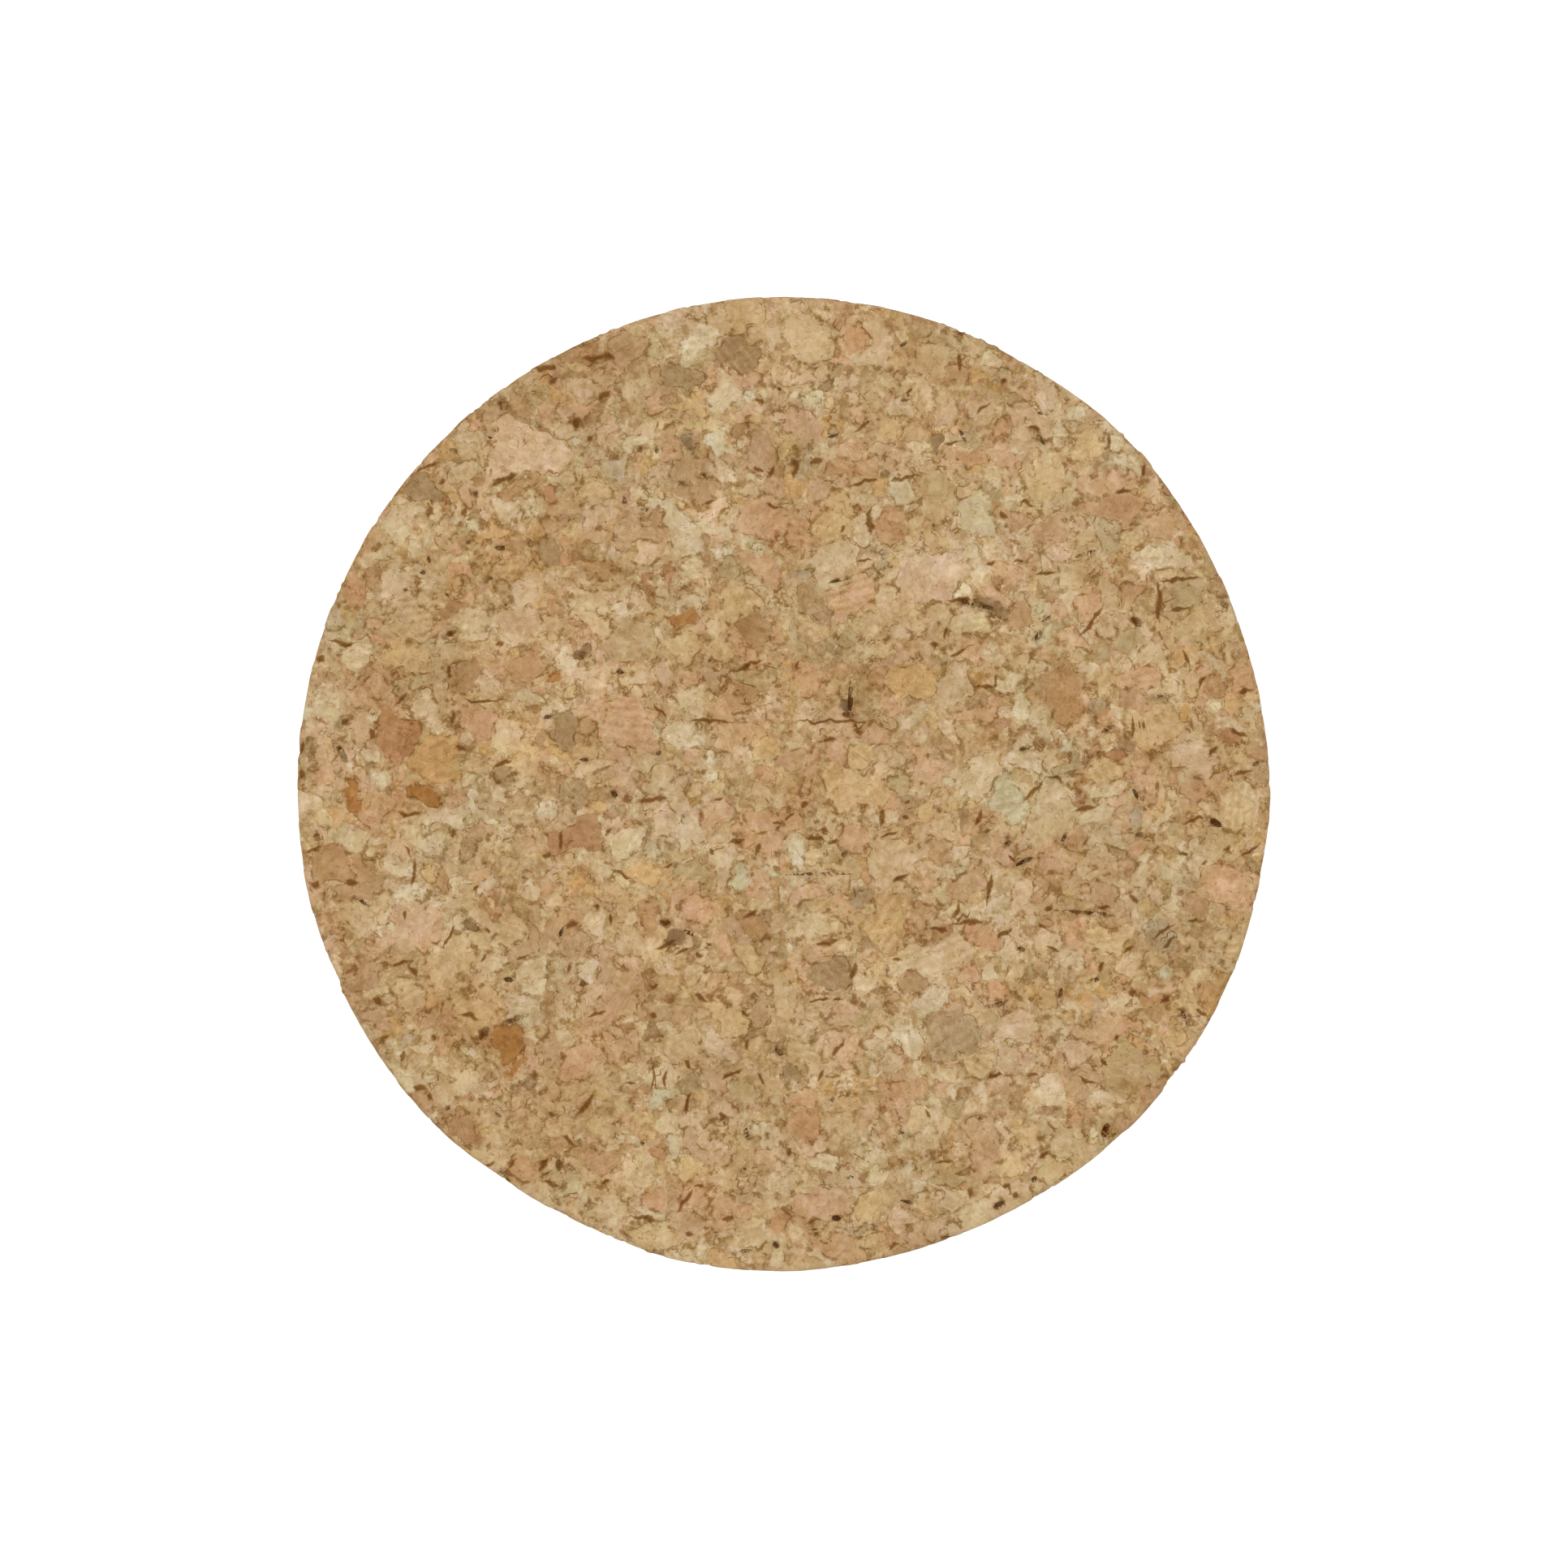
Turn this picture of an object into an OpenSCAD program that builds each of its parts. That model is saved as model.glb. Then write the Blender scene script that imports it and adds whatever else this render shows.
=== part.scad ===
// Tapered stopper cut from a block of pressed cork granules.
// It is one solid: a turned cone frustum with sanded edges, a rim that hand
// grinding left very slightly out of round, chips where granules broke out of
// the edges, and open pores and crevices where the granules didn't close up.
// Frame: Z runs up the axis, the narrow end stands on Z = 0.

/* [Body] */
// Diameter of the wide end
top_d = 48; // [30:0.5:80]
// Diameter of the narrow end
bottom_d = 41; // [26:0.5:70]
// Height from the narrow end to the wide end
body_h = 38; // [20:0.5:60]
// Sanded radius on the edge of the wide end
top_edge_r = 0.4; // [0.2:0.1:1.5]
// Sanded radius on the edge of the narrow end
bottom_edge_r = 0.7; // [0.2:0.1:1.5]

/* [Ground outline] */
// Depth of the deepest flat that grinding left on the rim
flat_depth = 0.21; // [0.05:0.01:0.4]

/* [Chips] */
// Width of the widest chip along an edge
chip_w = 2.6; // [0.8:0.1:4]
// Depth of the deepest chip
chip_depth = 0.35; // [0.1:0.05:0.6]
// Number of chips round the edge of the narrow end
bottom_chips = 9; // [0:1:24]

/* [Pores] */
// Depth of the deepest pore
pore_depth = 1.2; // [0.4:0.1:2.5]
// Longest scattered pore, from tip to tip
pore_l = 2.2; // [0.8:0.1:4]
// Widest scattered pore
pore_w = 0.8; // [0.3:0.1:1.5]
// Number of pores scattered over the side
side_pores = 110; // [0:1:160]
// Number of pores scattered over the narrow end
bottom_pores = 34; // [0:1:60]

/* [Hidden] */

top_r = top_d / 2;
bottom_r = bottom_d / 2;
taper = atan((top_r - bottom_r) / body_h);
cork = [0.77, 0.62, 0.43];

// Circles are drawn with this many sides, and each sanded edge with this many steps
smooth_fn = 96;
edge_steps = 6;
// Corners of a pore's outline, how far each strays from an even share of the
// turn, how far out it lies, and the pore's floor as a share of its mouth
pore_corners = 7;
corner_stray = [-0.22, 0.22];
corner_reach = [0.8, 1];
pore_floor = 0.5;
// How far a cut stands clear of the surface that it starts from
clear = 0.3;

// Scattered pores: the shortest as a share of pore_l, widths as a share of
// pore_w, how much a short one widens, and depths as a share of pore_depth
short_pore = 0.3;
pore_width_share = [0.35, 0.6];
short_pore_widening = 1.4;
pore_depth_share = [0.35, 0.9];
// Diameter of the wide end that the places of its pores are given for
pore_map_d = 48;
// Turn from one scattered pore to the next, which never lines up with an earlier
// one, and how far a pore strays from it on an end and on the side
golden_turn = 137.508;
end_stray = [-20, 20];
side_stray = [-12, 12];
// Where a pore lies within its own share of an end or of the side
place_in_share = [0.2, 0.8];
// How far out the pores of an end go, and how much of the height the side's take
end_reach = 0.95;
side_reach = [0.03, 0.97];
// Number that starts each group's random picks
face_seed = 0;
scatter_seed = 100;
foot_seed = 500;
side_seed = 700;

// Chips of the narrow end: where each lies in its share of the turn, its height
// as a share of bottom_edge_r, and its width and depth as shares of the largest
chip_place = [0.1, 0.7];
chip_rise = [0.4, 1.4];
chip_width_share = [0.5, 1];
chip_depth_share = [0.6, 1];

// Flats on the outline: [direction, half of the angle it spans, share of flat_depth]
FLATS = [
    [21, 22, 0.95],
    [58, 10, 0.45],
    [145, 48, 0.60],
    [241, 14, 1.00],
    [294, 22, 0.95],
    [347, 9, 0.40],
];

// Chips on the edge of the wide end: [direction, share of chip_w, share of chip_depth]
RIM_CHIPS = [
    [61, 0.36, 0.38],
    [66.8, 0.30, 0.42],
    [112, 0.60, 0.30],
    [203, 0.75, 0.35],
    [323, 0.42, 0.40],
];

// Pores of the wide end: [x, y, turn of the long axis, length, width, share of
// pore_depth], with x and y for a wide end of pore_map_d
FACE_PORES = [
    [-16.3, 7.4, 20, 0.80, 0.50, 0.85],
    [15.8, -17.0, 72, 1.00, 0.42, 1.00],
    [11.8, -3.8, 26, 1.15, 0.26, 0.85],
    [11.0, -2.9, 40, 0.50, 0.40, 0.60],
    [3.3, 4.3, 88, 2.00, 0.32, 0.60],
    [-0.2, -13.1, -45, 0.65, 0.30, 0.65],
    [21.2, -1.9, -30, 0.85, 0.40, 0.65],
    [23.2, 1.0, 20, 0.50, 0.30, 0.65],
    [21.6, 8.8, -15, 0.50, 0.30, 0.45],
    [12.6, 17.0, -60, 1.20, 0.24, 0.65],
    [12.7, 18.2, 5, 0.85, 0.26, 0.45],
    [2.6, -21.3, -5, 0.62, 0.34, 0.65],
    [12.3, -19.4, 60, 0.45, 0.36, 0.55],
    [13.6, -10.3, 82, 0.85, 0.26, 0.50],
    [-5.8, -6.8, -15, 0.75, 0.50, 0.65],
    [-8.3, -0.5, -40, 0.55, 0.32, 0.50],
    [-14.7, -12.2, 50, 0.95, 0.45, 0.55],
    [-13.3, -11.6, 20, 1.30, 0.30, 0.50],
    [14.8, -6.3, -5, 3.60, 0.20, 0.40],
    [1.9, -4.4, 1, 4.20, 0.18, 0.35],
    [7.3, 12.7, 12, 1.05, 0.20, 0.40],
    [9.5, 8.8, -13, 2.80, 0.26, 0.50],
    [14.8, 11.3, 18, 1.40, 0.24, 0.40],
    [2.7, 10.0, 13, 1.50, 0.18, 0.40],
    [-9.9, 6.3, -15, 1.05, 0.60, 0.40],
    [-13.9, 11.6, 5, 0.90, 0.30, 0.40],
    [-21.7, 1.6, -60, 1.60, 0.38, 0.50],
    [17.3, 8.0, -45, 0.90, 0.42, 0.50],
    [3.2, -15.2, 35, 0.45, 0.30, 0.45],
    [2.4, -15.5, 65, 0.48, 0.24, 0.40],
    [9.7, -16.4, -5, 0.38, 0.24, 0.40],
    [3.3, -19.3, 5, 0.42, 0.28, 0.40],
    [-5.0, 14.7, -5, 0.55, 0.24, 0.40],
    [-6.2, 16.4, 70, 0.45, 0.24, 0.40],
    [-3.9, 15.2, -20, 0.45, 0.28, 0.40],
    [-7.8, 13.9, 85, 0.70, 0.24, 0.40],
    [-6.7, 13.5, 80, 0.40, 0.22, 0.40],
    [2.5, 17.1, 20, 0.70, 0.22, 0.40],
    [8.8, 17.1, -60, 0.85, 0.24, 0.40],
    [6.9, 18.0, 0, 0.45, 0.28, 0.40],
    [8.9, 21.4, 10, 0.35, 0.26, 0.40],
    [5.9, 21.6, 30, 0.65, 0.20, 0.40],
    [-0.2, 19.4, -10, 0.32, 0.24, 0.40],
    [18.4, 4.3, 0, 0.65, 0.20, 0.40],
    [12.9, 8.1, 32, 0.60, 0.20, 0.40],
    [12.5, 7.3, 45, 0.60, 0.26, 0.40],
    [15.9, 2.7, 25, 0.95, 0.22, 0.40],
    [17.3, -0.5, -65, 0.68, 0.26, 0.40],
    [13.8, -2.6, 50, 0.60, 0.30, 0.40],
    [17.5, -2.5, -10, 0.65, 0.26, 0.40],
    [19.0, -8.7, 0, 0.32, 0.24, 0.40],
    [15.3, -9.6, 5, 0.65, 0.20, 0.40],
    [19.6, -11.3, -60, 0.65, 0.40, 0.40],
    [11.7, -8.1, -15, 0.60, 0.22, 0.40],
    [10.5, -10.8, 20, 1.40, 0.28, 0.40],
    [9.3, -10.0, 10, 0.32, 0.24, 0.40],
    [3.2, -7.0, 60, 0.32, 0.22, 0.40],
    [3.0, -3.4, 40, 0.50, 0.34, 0.40],
    [-3.6, -9.1, -45, 0.85, 0.22, 0.40],
    [-1.4, -10.4, -65, 0.45, 0.20, 0.40],
    [-4.6, -7.3, -25, 0.90, 0.22, 0.40],
    [-10.9, -7.3, 75, 0.75, 0.22, 0.40],
    [-13.5, -9.6, -10, 0.60, 0.30, 0.40],
    [-20.6, -5.8, -32, 0.95, 0.20, 0.40],
    [-17.4, 11.0, -80, 0.50, 0.24, 0.40],
    [-17.7, 10.4, 0, 0.50, 0.24, 0.40],
    [-16.5, 9.4, -70, 0.50, 0.22, 0.40],
    [-19.9, 10.6, 30, 0.30, 0.22, 0.40],
    [-11.0, -18.7, 80, 0.75, 0.35, 0.40],
    [-11.4, -16.2, 0, 0.40, 0.32, 0.40],
    [-6.9, -17.6, 60, 0.40, 0.30, 0.40],
    [-1.8, -17.1, -80, 0.90, 0.24, 0.40],
    [-1.9, -18.9, 0, 0.30, 0.24, 0.40],
    [-1.8, -22.9, 5, 0.85, 0.26, 0.40],
    [-0.4, -22.6, -50, 0.60, 0.26, 0.40],
    [6.1, -20.5, -12, 0.90, 0.20, 0.40],
    [5.8, -17.1, 15, 0.50, 0.20, 0.40],
    [10.6, -20.6, 30, 0.75, 0.32, 0.40],
    [-16.5, -15.9, 10, 0.50, 0.28, 0.40],
    [-14.0, -16.2, -40, 0.60, 0.22, 0.40],
    [-16.2, 16.4, -15, 0.60, 0.24, 0.40],
    [-15.1, 14.2, 80, 0.70, 0.22, 0.40],
    [-11.9, 1.0, 40, 0.52, 0.30, 0.40],
    [-9.8, 1.2, 0, 0.60, 0.24, 0.40],
    [-6.1, 1.5, 10, 0.45, 0.28, 0.40],
    [-11.6, 3.3, 20, 0.40, 0.28, 0.40],
    [-8.0, 5.5, -10, 0.60, 0.24, 0.40],
    [-3.6, 6.1, 0, 0.32, 0.24, 0.40],
    [11.0, 0.6, -40, 0.60, 0.32, 0.40],
    [11.8, 1.7, -5, 0.75, 0.22, 0.40],
    [3.2, 3.4, -5, 0.90, 0.45, 0.40],
    [-14.4, 17.0, 0, 0.32, 0.24, 0.40],
    [-13.6, 8.8, 0, 0.32, 0.24, 0.40],
    [-14.4, 10.1, 5, 0.40, 0.22, 0.40],
];

// A number from 0 to 1 that looks random but is the same each time
function dice(i, k) = let (x = sin(i * 127.1 + k * 311.7) * 43758.5453) x - floor(x);

// A number from range[0] to range[1], picked by dice()
function pick(i, k, range) = range[0] + (range[1] - range[0]) * dice(i, k);

// Radius of the body at a height
function radius_at(z) = bottom_r + (top_r - bottom_r) * z / body_h;

// Points of a sanded edge, round centre c from angle a0 to a1
function edge_arc(c, r, a0, a1) =
    [for (i = [0:edge_steps]) let (a = a0 + (a1 - a0) * i / edge_steps) c + r * [cos(a), sin(a)]];

// Distance from an end's sharp corner to the centre of its round, along the end
bottom_run = bottom_edge_r * tan(45 - taper / 2);
top_run = top_edge_r * tan(45 + taper / 2);

// The half section, with both edges rounded tangent to the side and the ends
function half_section() =
    concat(
        [[0, 0]],
        edge_arc([bottom_r - bottom_run, bottom_edge_r], bottom_edge_r, -90, -taper),
        edge_arc([top_r - top_run, body_h - top_edge_r], top_edge_r, -taper, 90),
        [[0, body_h]]
    );

// The turned body, before anything is cut from it
module turned_body() {
    rotate_extrude($fn = smooth_fn)
        polygon(half_section());
}

// The space that one flat leaves: a wider cone whose axis is set back, so that
// it meets the rim half_angle to either side and is deepest in the middle
module flat_limit(direction, half_angle, depth) {
    set_back = depth / (1 - cos(half_angle));
    extra = set_back - depth;
    rotate([0, 0, direction])
        translate([-set_back, 0, -clear])
            cylinder(
                r1 = radius_at(-clear) + extra,
                r2 = radius_at(body_h + clear) + extra,
                h = body_h + 2 * clear,
                $fn = smooth_fn
            );
}

// The body with its ground flats
module ground_body() {
    intersection() {
        turned_body();
        intersection_for (f = FLATS)
            flat_limit(f[0], f[1], f[2] * flat_depth);
    }
}

// A chip: the hollow that a granule leaves in an edge at height z
module chip(direction, z, w, d) {
    r = (w * w / 4 + d * d) / (2 * d);
    rotate([0, 0, direction])
        translate([radius_at(z) + r - d, 0, z])
            sphere(r = r, $fn = smooth_fn);
}

module rim_chips() {
    for (c = RIM_CHIPS)
        chip(c[0], body_h - top_edge_r, c[1] * chip_w, c[2] * chip_depth);
}

module foot_chips() {
    for (i = [0:1:bottom_chips - 1])
        chip(
            360 * (i + pick(i, 1, chip_place)) / bottom_chips,
            bottom_edge_r * pick(i, 2, chip_rise),
            chip_w * pick(i, 3, chip_width_share),
            chip_depth * pick(i, 4, chip_depth_share)
        );
}

// Outline of a pore, an angular leaf with its long axis along X
function pore_outline(l, w, seed) =
    [for (k = [0:pore_corners - 1])
        let (
            a = 360 * (k + pick(seed, k, corner_stray)) / pore_corners,
            r = pick(seed, k + 20, corner_reach)
        )
        r * [l / 2 * cos(a), w / 2 * sin(a)]];

// A pore that opens at Z = 0 and narrows to its floor at Z = -d
module pore(l, w, d, seed) {
    n = pore_corners;
    mouth_grow = 1 + (1 - pore_floor) * clear / d;
    outline = pore_outline(l, w, seed);
    polyhedron(
        points = concat(
            [for (p = outline) [p.x * mouth_grow, p.y * mouth_grow, clear]],
            [for (p = outline) [p.x * pore_floor, p.y * pore_floor, -d]]
        ),
        faces = concat(
            [[for (k = [n - 1:-1:0]) k]],
            [[for (k = [0:n - 1]) n + k]],
            [for (k = [0:n - 1]) [k, (k + 1) % n, n + (k + 1) % n, n + k]]
        )
    );
}

// Puts a pore on the narrow end, mouth down
module on_bottom(share, direction, turn) {
    rotate([0, 0, direction])
        translate([share * bottom_r, 0, 0])
            rotate([180, 0, turn])
                children();
}

// Puts a pore on the side, square to the taper
module on_side(z, direction, turn) {
    rotate([0, 0, direction])
        translate([radius_at(z), 0, z])
            rotate([0, 90 + taper, 0])
                rotate([0, 0, turn])
                    children();
}

module face_pores() {
    spread = top_d / pore_map_d;
    for (i = [0:len(FACE_PORES) - 1])
        let (p = FACE_PORES[i])
            translate([p[0] * spread, p[1] * spread, body_h])
                rotate([0, 0, p[2]])
                    pore(p[3], p[4], p[5] * pore_depth, face_seed + i);
}

// A scattered pore: most are small, and long ones are narrow
module scattered_pore(i) {
    long = pow(dice(i, 5), 2);
    l = pore_l * (short_pore + (1 - short_pore) * long);
    w = pore_w * pick(i, 6, pore_width_share) * (short_pore_widening - long);
    pore(l, w, pore_depth * pick(i, 7, pore_depth_share), scatter_seed + i);
}

// Share of an end's radius at which its pore i of count lies, spread evenly by area
function end_share(i, count, k) = end_reach * sqrt((i + pick(i, k, place_in_share)) / count);

// Height at which the side's pore i lies
function side_height(i) =
    let (share = (i + pick(i, 14, place_in_share)) / side_pores)
        body_h * (side_reach[0] + (side_reach[1] - side_reach[0]) * share);

module foot_pores() {
    for (i = [0:1:bottom_pores - 1])
        on_bottom(end_share(i, bottom_pores, 11), i * golden_turn + pick(i, 12, end_stray), 180 * dice(i, 13))
            scattered_pore(foot_seed + i);
}

module barrel_pores() {
    for (i = [0:1:side_pores - 1])
        on_side(side_height(i), i * golden_turn + pick(i, 15, side_stray), 180 * dice(i, 16))
            scattered_pore(side_seed + i);
}

module stopper() {
    color(cork)
        difference() {
            ground_body();
            rim_chips();
            foot_chips();
            face_pores();
            foot_pores();
            barrel_pores();
        }
}

stopper();
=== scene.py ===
# %% [markdown]
# # A tapered stopper of pressed cork
#
# This notebook dresses one solid: a laboratory or jar stopper cut from a block of
# cork granules that were glued and pressed together. The CAD frame gives the body
# and its size. Here the body gets the skin that makes such a stopper look real:
# angular granules of many tones, crumbs between them, thin brown joints, and the
# open pores that sanding cuts into. The joints, the cracks and the pores are also
# darkened with painted shade.

# %% Load the frame
import math

import bpy
import numpy as np
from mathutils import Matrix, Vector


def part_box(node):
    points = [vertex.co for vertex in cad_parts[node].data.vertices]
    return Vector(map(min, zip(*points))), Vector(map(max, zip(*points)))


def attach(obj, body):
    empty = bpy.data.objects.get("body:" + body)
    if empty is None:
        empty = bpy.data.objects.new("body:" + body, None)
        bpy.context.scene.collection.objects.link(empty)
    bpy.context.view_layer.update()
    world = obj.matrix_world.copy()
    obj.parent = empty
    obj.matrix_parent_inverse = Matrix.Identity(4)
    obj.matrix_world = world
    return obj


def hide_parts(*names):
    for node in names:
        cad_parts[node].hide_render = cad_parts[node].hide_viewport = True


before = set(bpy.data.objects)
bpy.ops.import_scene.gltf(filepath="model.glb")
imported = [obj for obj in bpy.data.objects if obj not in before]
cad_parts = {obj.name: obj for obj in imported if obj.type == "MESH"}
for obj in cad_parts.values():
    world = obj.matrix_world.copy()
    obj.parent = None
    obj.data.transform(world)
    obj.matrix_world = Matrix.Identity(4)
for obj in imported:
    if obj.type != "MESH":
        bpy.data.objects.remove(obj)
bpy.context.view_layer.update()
MM = 0.001
lowest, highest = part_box("stopper")
print("CAD box in mm:", [round(v / MM, 2) for v in (*lowest, *highest)])

# %% [markdown]
# ## Driving sizes
#
# The skin follows the same turned shape as the solid, so it starts from the same
# few sizes: two diameters, a height and two sanded edges. The height is read from
# the frame. All of the working below is in millimetres, and the mesh is scaled to
# metres in one place at the end.

# %% Sizes of the stopper in mm
TOP_D = 48.0
FOOT_D = 41.0
HEIGHT = (highest.z - lowest.z) / MM
TOP_EDGE_R = 0.4
FOOT_EDGE_R = 0.7
TOP_R = TOP_D / 2
FOOT_R = FOOT_D / 2
TAPER = math.atan2(TOP_R - FOOT_R, HEIGHT)
TOP_RUN = TOP_EDGE_R * math.tan(math.pi / 4 + TAPER / 2)
FOOT_RUN = FOOT_EDGE_R * math.tan(math.pi / 4 - TAPER / 2)
print(f"height {HEIGHT:.2f} mm, taper {math.degrees(TAPER):.2f} degrees a side")

# %% [markdown]
# ## The half section
#
# A turned body is one line carried round the axis. The line runs out across the
# wide end, round its sanded edge, down the taper, round the lower edge and back in
# to the axis. Keeping a position along this line and an angle for each point means
# that a point can slide over the skin later and still lie exactly on it.


# %% The half section and points on it
def arc(centre, radius, start, stop, steps):
    """Points and outward normals of an arc: centre plus radius times (cos, sin) of each angle."""
    angle = np.linspace(start, stop, steps)
    normal = np.stack([np.cos(angle), np.sin(angle)], axis=1)
    return np.array(centre) + radius * normal, normal


ARC_STEPS = 25
top_arc, top_arc_normal = arc(
    (TOP_R - TOP_RUN, HEIGHT - TOP_EDGE_R), TOP_EDGE_R, math.pi / 2, -TAPER, ARC_STEPS
)
foot_arc, foot_arc_normal = arc(
    (FOOT_R - FOOT_RUN, FOOT_EDGE_R), FOOT_EDGE_R, -TAPER, -math.pi / 2, ARC_STEPS
)
section = np.vstack([[[0, HEIGHT]], top_arc, foot_arc, [[0, 0]]])
section_normal = np.vstack([[[0, 1]], top_arc_normal, foot_arc_normal, [[0, -1]]])
section_length = np.concatenate(
    [[0], np.cumsum(np.linalg.norm(np.diff(section, axis=0), axis=1))]
)
TOP_END = section_length[1]
RIM_END = section_length[ARC_STEPS]
SIDE_END = section_length[ARC_STEPS + 1]
FOOT_START = section_length[2 * ARC_STEPS]
LINE_END = section_length[-1]
print(f"the line is {LINE_END:.1f} mm long, of which the side is {SIDE_END - RIM_END:.1f} mm")


def along_section(line, columns):
    """Values of the half section's columns at each length along it, joined by straight lines."""
    return np.stack([np.interp(line, section_length, c) for c in columns.T], axis=1)


# %% [markdown]
# ## The ground outline
#
# Hand grinding leaves a stopper slightly out of round: broad flats a tenth or two
# of a millimetre deep, and chips where a granule broke away from an edge. A flat is
# where a wider circle, set back from the axis, cuts the round one. A chip is a ball
# pressed into the edge.

# %% Flats and chips, as on the solid
FLAT_DEPTH = 0.21
FLATS = [
    (21, 22, 0.95),
    (58, 10, 0.45),
    (145, 48, 0.60),
    (241, 14, 1.00),
    (294, 22, 0.95),
    (347, 9, 0.40),
]
CHIP_W = 2.6
CHIP_DEPTH = 0.35
RIM_CHIPS = [
    (61, 0.36, 0.38),
    (66.8, 0.30, 0.42),
    (112, 0.60, 0.30),
    (203, 0.75, 0.35),
    (323, 0.42, 0.40),
]
FOOT_CHIPS = 9
print(len(FLATS), "flats and", len(RIM_CHIPS) + FOOT_CHIPS, "chips")

# %% The solid's dice
DICE_DEGREES = (127.1, 311.7)
DICE_SPREAD = 43758.5453


def dice(i, k):
    """A number from 0 to 1, as in the solid: what stands after the point in a large
    multiple of the sine of i times one angle plus k times another."""
    angle = np.asarray(i, float) * DICE_DEGREES[0] + k * DICE_DEGREES[1]
    value = np.sin(np.radians(angle)) * DICE_SPREAD
    return value - np.floor(value)


def pick(i, k, low, high):
    """A number from low to high, picked by dice."""
    return low + (high - low) * dice(i, k)


# %% How a flat and a chip cut
def flat_loss(turn):
    """How far the flats lie inside the round outline in each direction: depth times (cos
    of the angle from the flat's middle less cos of its half angle) over (1 less the
    latter)."""
    loss = np.zeros_like(turn)
    for direction, half, share in FLATS:
        away = np.cos(turn - math.radians(direction))
        half_cos = math.cos(math.radians(half))
        loss = np.maximum(loss, FLAT_DEPTH * share * (away - half_cos) / (1 - half_cos))
    return np.maximum(loss, 0)


def body_radius(z):
    """Radius of the cone at a height."""
    return FOOT_R + (TOP_R - FOOT_R) * z / HEIGHT


def press_chip(points, direction, z, width, depth):
    """Moves the points inside a ball at the edge straight in towards the axis, onto the
    ball. A ball that cuts a chip of this width and depth has the radius
    (width squared / 4 + depth squared) / (2 depth)."""
    radius = (width**2 / 4 + depth**2) / (2 * depth)
    angle = math.radians(direction)
    out = np.array([math.cos(angle), math.sin(angle), 0])
    centre = out * (body_radius(z) + radius - depth) + [0, 0, z]
    offset = points - centre
    along = offset @ out
    across = np.einsum("ij,ij->i", offset, offset) - along**2
    reach = np.sqrt(np.maximum(radius**2 - across, 0))
    inside = (across < radius**2) & (along > -reach)
    points[inside] += np.outer((-reach - along)[inside], out)


# %% Points and normals of the ground body
SQUEEZE_POWER = 6


def place(line, turn):
    """Points of the ground body: the half section at each length, carried round to each
    angle, less the flats, which fade out towards the middle of the two ends, less the chips."""
    section_xy = along_section(line, section)
    radius, z = section_xy[:, 0], section_xy[:, 1]
    squeeze = np.minimum(radius / (body_radius(z) - TOP_RUN), 1) ** SQUEEZE_POWER
    radius = radius - flat_loss(turn) * squeeze
    points = np.stack([radius * np.cos(turn), radius * np.sin(turn), z], axis=1)
    for direction, width, depth in RIM_CHIPS:
        press_chip(points, direction, HEIGHT - TOP_EDGE_R, width * CHIP_W, depth * CHIP_DEPTH)
    for i in range(FOOT_CHIPS):
        press_chip(
            points,
            360 * (i + pick(i, 1, 0.1, 0.7)) / FOOT_CHIPS,
            FOOT_EDGE_R * pick(i, 2, 0.4, 1.4),
            CHIP_W * pick(i, 3, 0.5, 1),
            CHIP_DEPTH * pick(i, 4, 0.6, 1),
        )
    return points


def outward(line, turn):
    """Outward normals of the turned body."""
    normal = along_section(line, section_normal)
    out, up = normal[:, 0], normal[:, 1]
    return np.stack([out * np.cos(turn), out * np.sin(turn), up], axis=1)


# %% [markdown]
# ## A skin of even triangles
#
# The skin is a stack of rings. Across the wide end ring number i has 6 times i
# points, which gives nearly equal triangles, and the spacing is finest there
# because that end is looked at most closely. Neighbouring rings have different
# numbers of points, so they are joined like a zip: each edge of a ring meets the
# nearest point of the other one.

# %% Places of the rings
TOP_STEP = 0.18
SIDE_STEP = 0.42
FOOT_STEP = 0.45
STEP_GROWTH = 0.03
RIM_ROWS = 4


def ring_lines():
    """Lengths along the half section at which the rings lie, and the number of steps across
    the wide end and across the foot."""
    top_count = round(TOP_END / TOP_STEP)
    top = np.linspace(0, TOP_END, top_count + 1)[1:]
    rim = np.linspace(TOP_END, RIM_END, RIM_ROWS + 1)[1:]
    side = [RIM_END]
    while side[-1] < SIDE_END - SIDE_STEP / 2:
        step = min(TOP_STEP + STEP_GROWTH * (len(side) - 1), SIDE_STEP)
        side.append(side[-1] + step)
    fit = (SIDE_END - RIM_END) / (side[-1] - RIM_END)
    side = RIM_END + (np.array(side[1:]) - RIM_END) * fit
    edge = np.linspace(SIDE_END, FOOT_START, RIM_ROWS + 1)[1:]
    foot_count = round((LINE_END - FOOT_START) / FOOT_STEP)
    foot = np.linspace(FOOT_START, LINE_END, foot_count + 1)[1:-1]
    line = np.concatenate([top, rim, side, edge, foot])
    return line, top_count, foot_count


def ring_counts(line, top_count, foot_count):
    """Points in each ring: 6, 12, 18 and so on across an end, and on the side the way
    round over the spacing."""
    radius = along_section(line, section)[:, 0]
    spacing = np.gradient(line)
    spacing = np.where((line > TOP_END) & (line < RIM_END), TOP_STEP, spacing)
    spacing = np.where((line > SIDE_END) & (line < FOOT_START), SIDE_STEP, spacing)
    count = np.round(2 * np.pi * radius / spacing).astype(int)
    place_in_top = np.arange(1, len(line) + 1)
    place_in_foot = np.arange(len(line), 0, -1)
    count = np.where(place_in_top <= top_count, 6 * place_in_top, count)
    count = np.where(place_in_foot <= foot_count - 1, 6 * place_in_foot, count)
    return count


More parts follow.
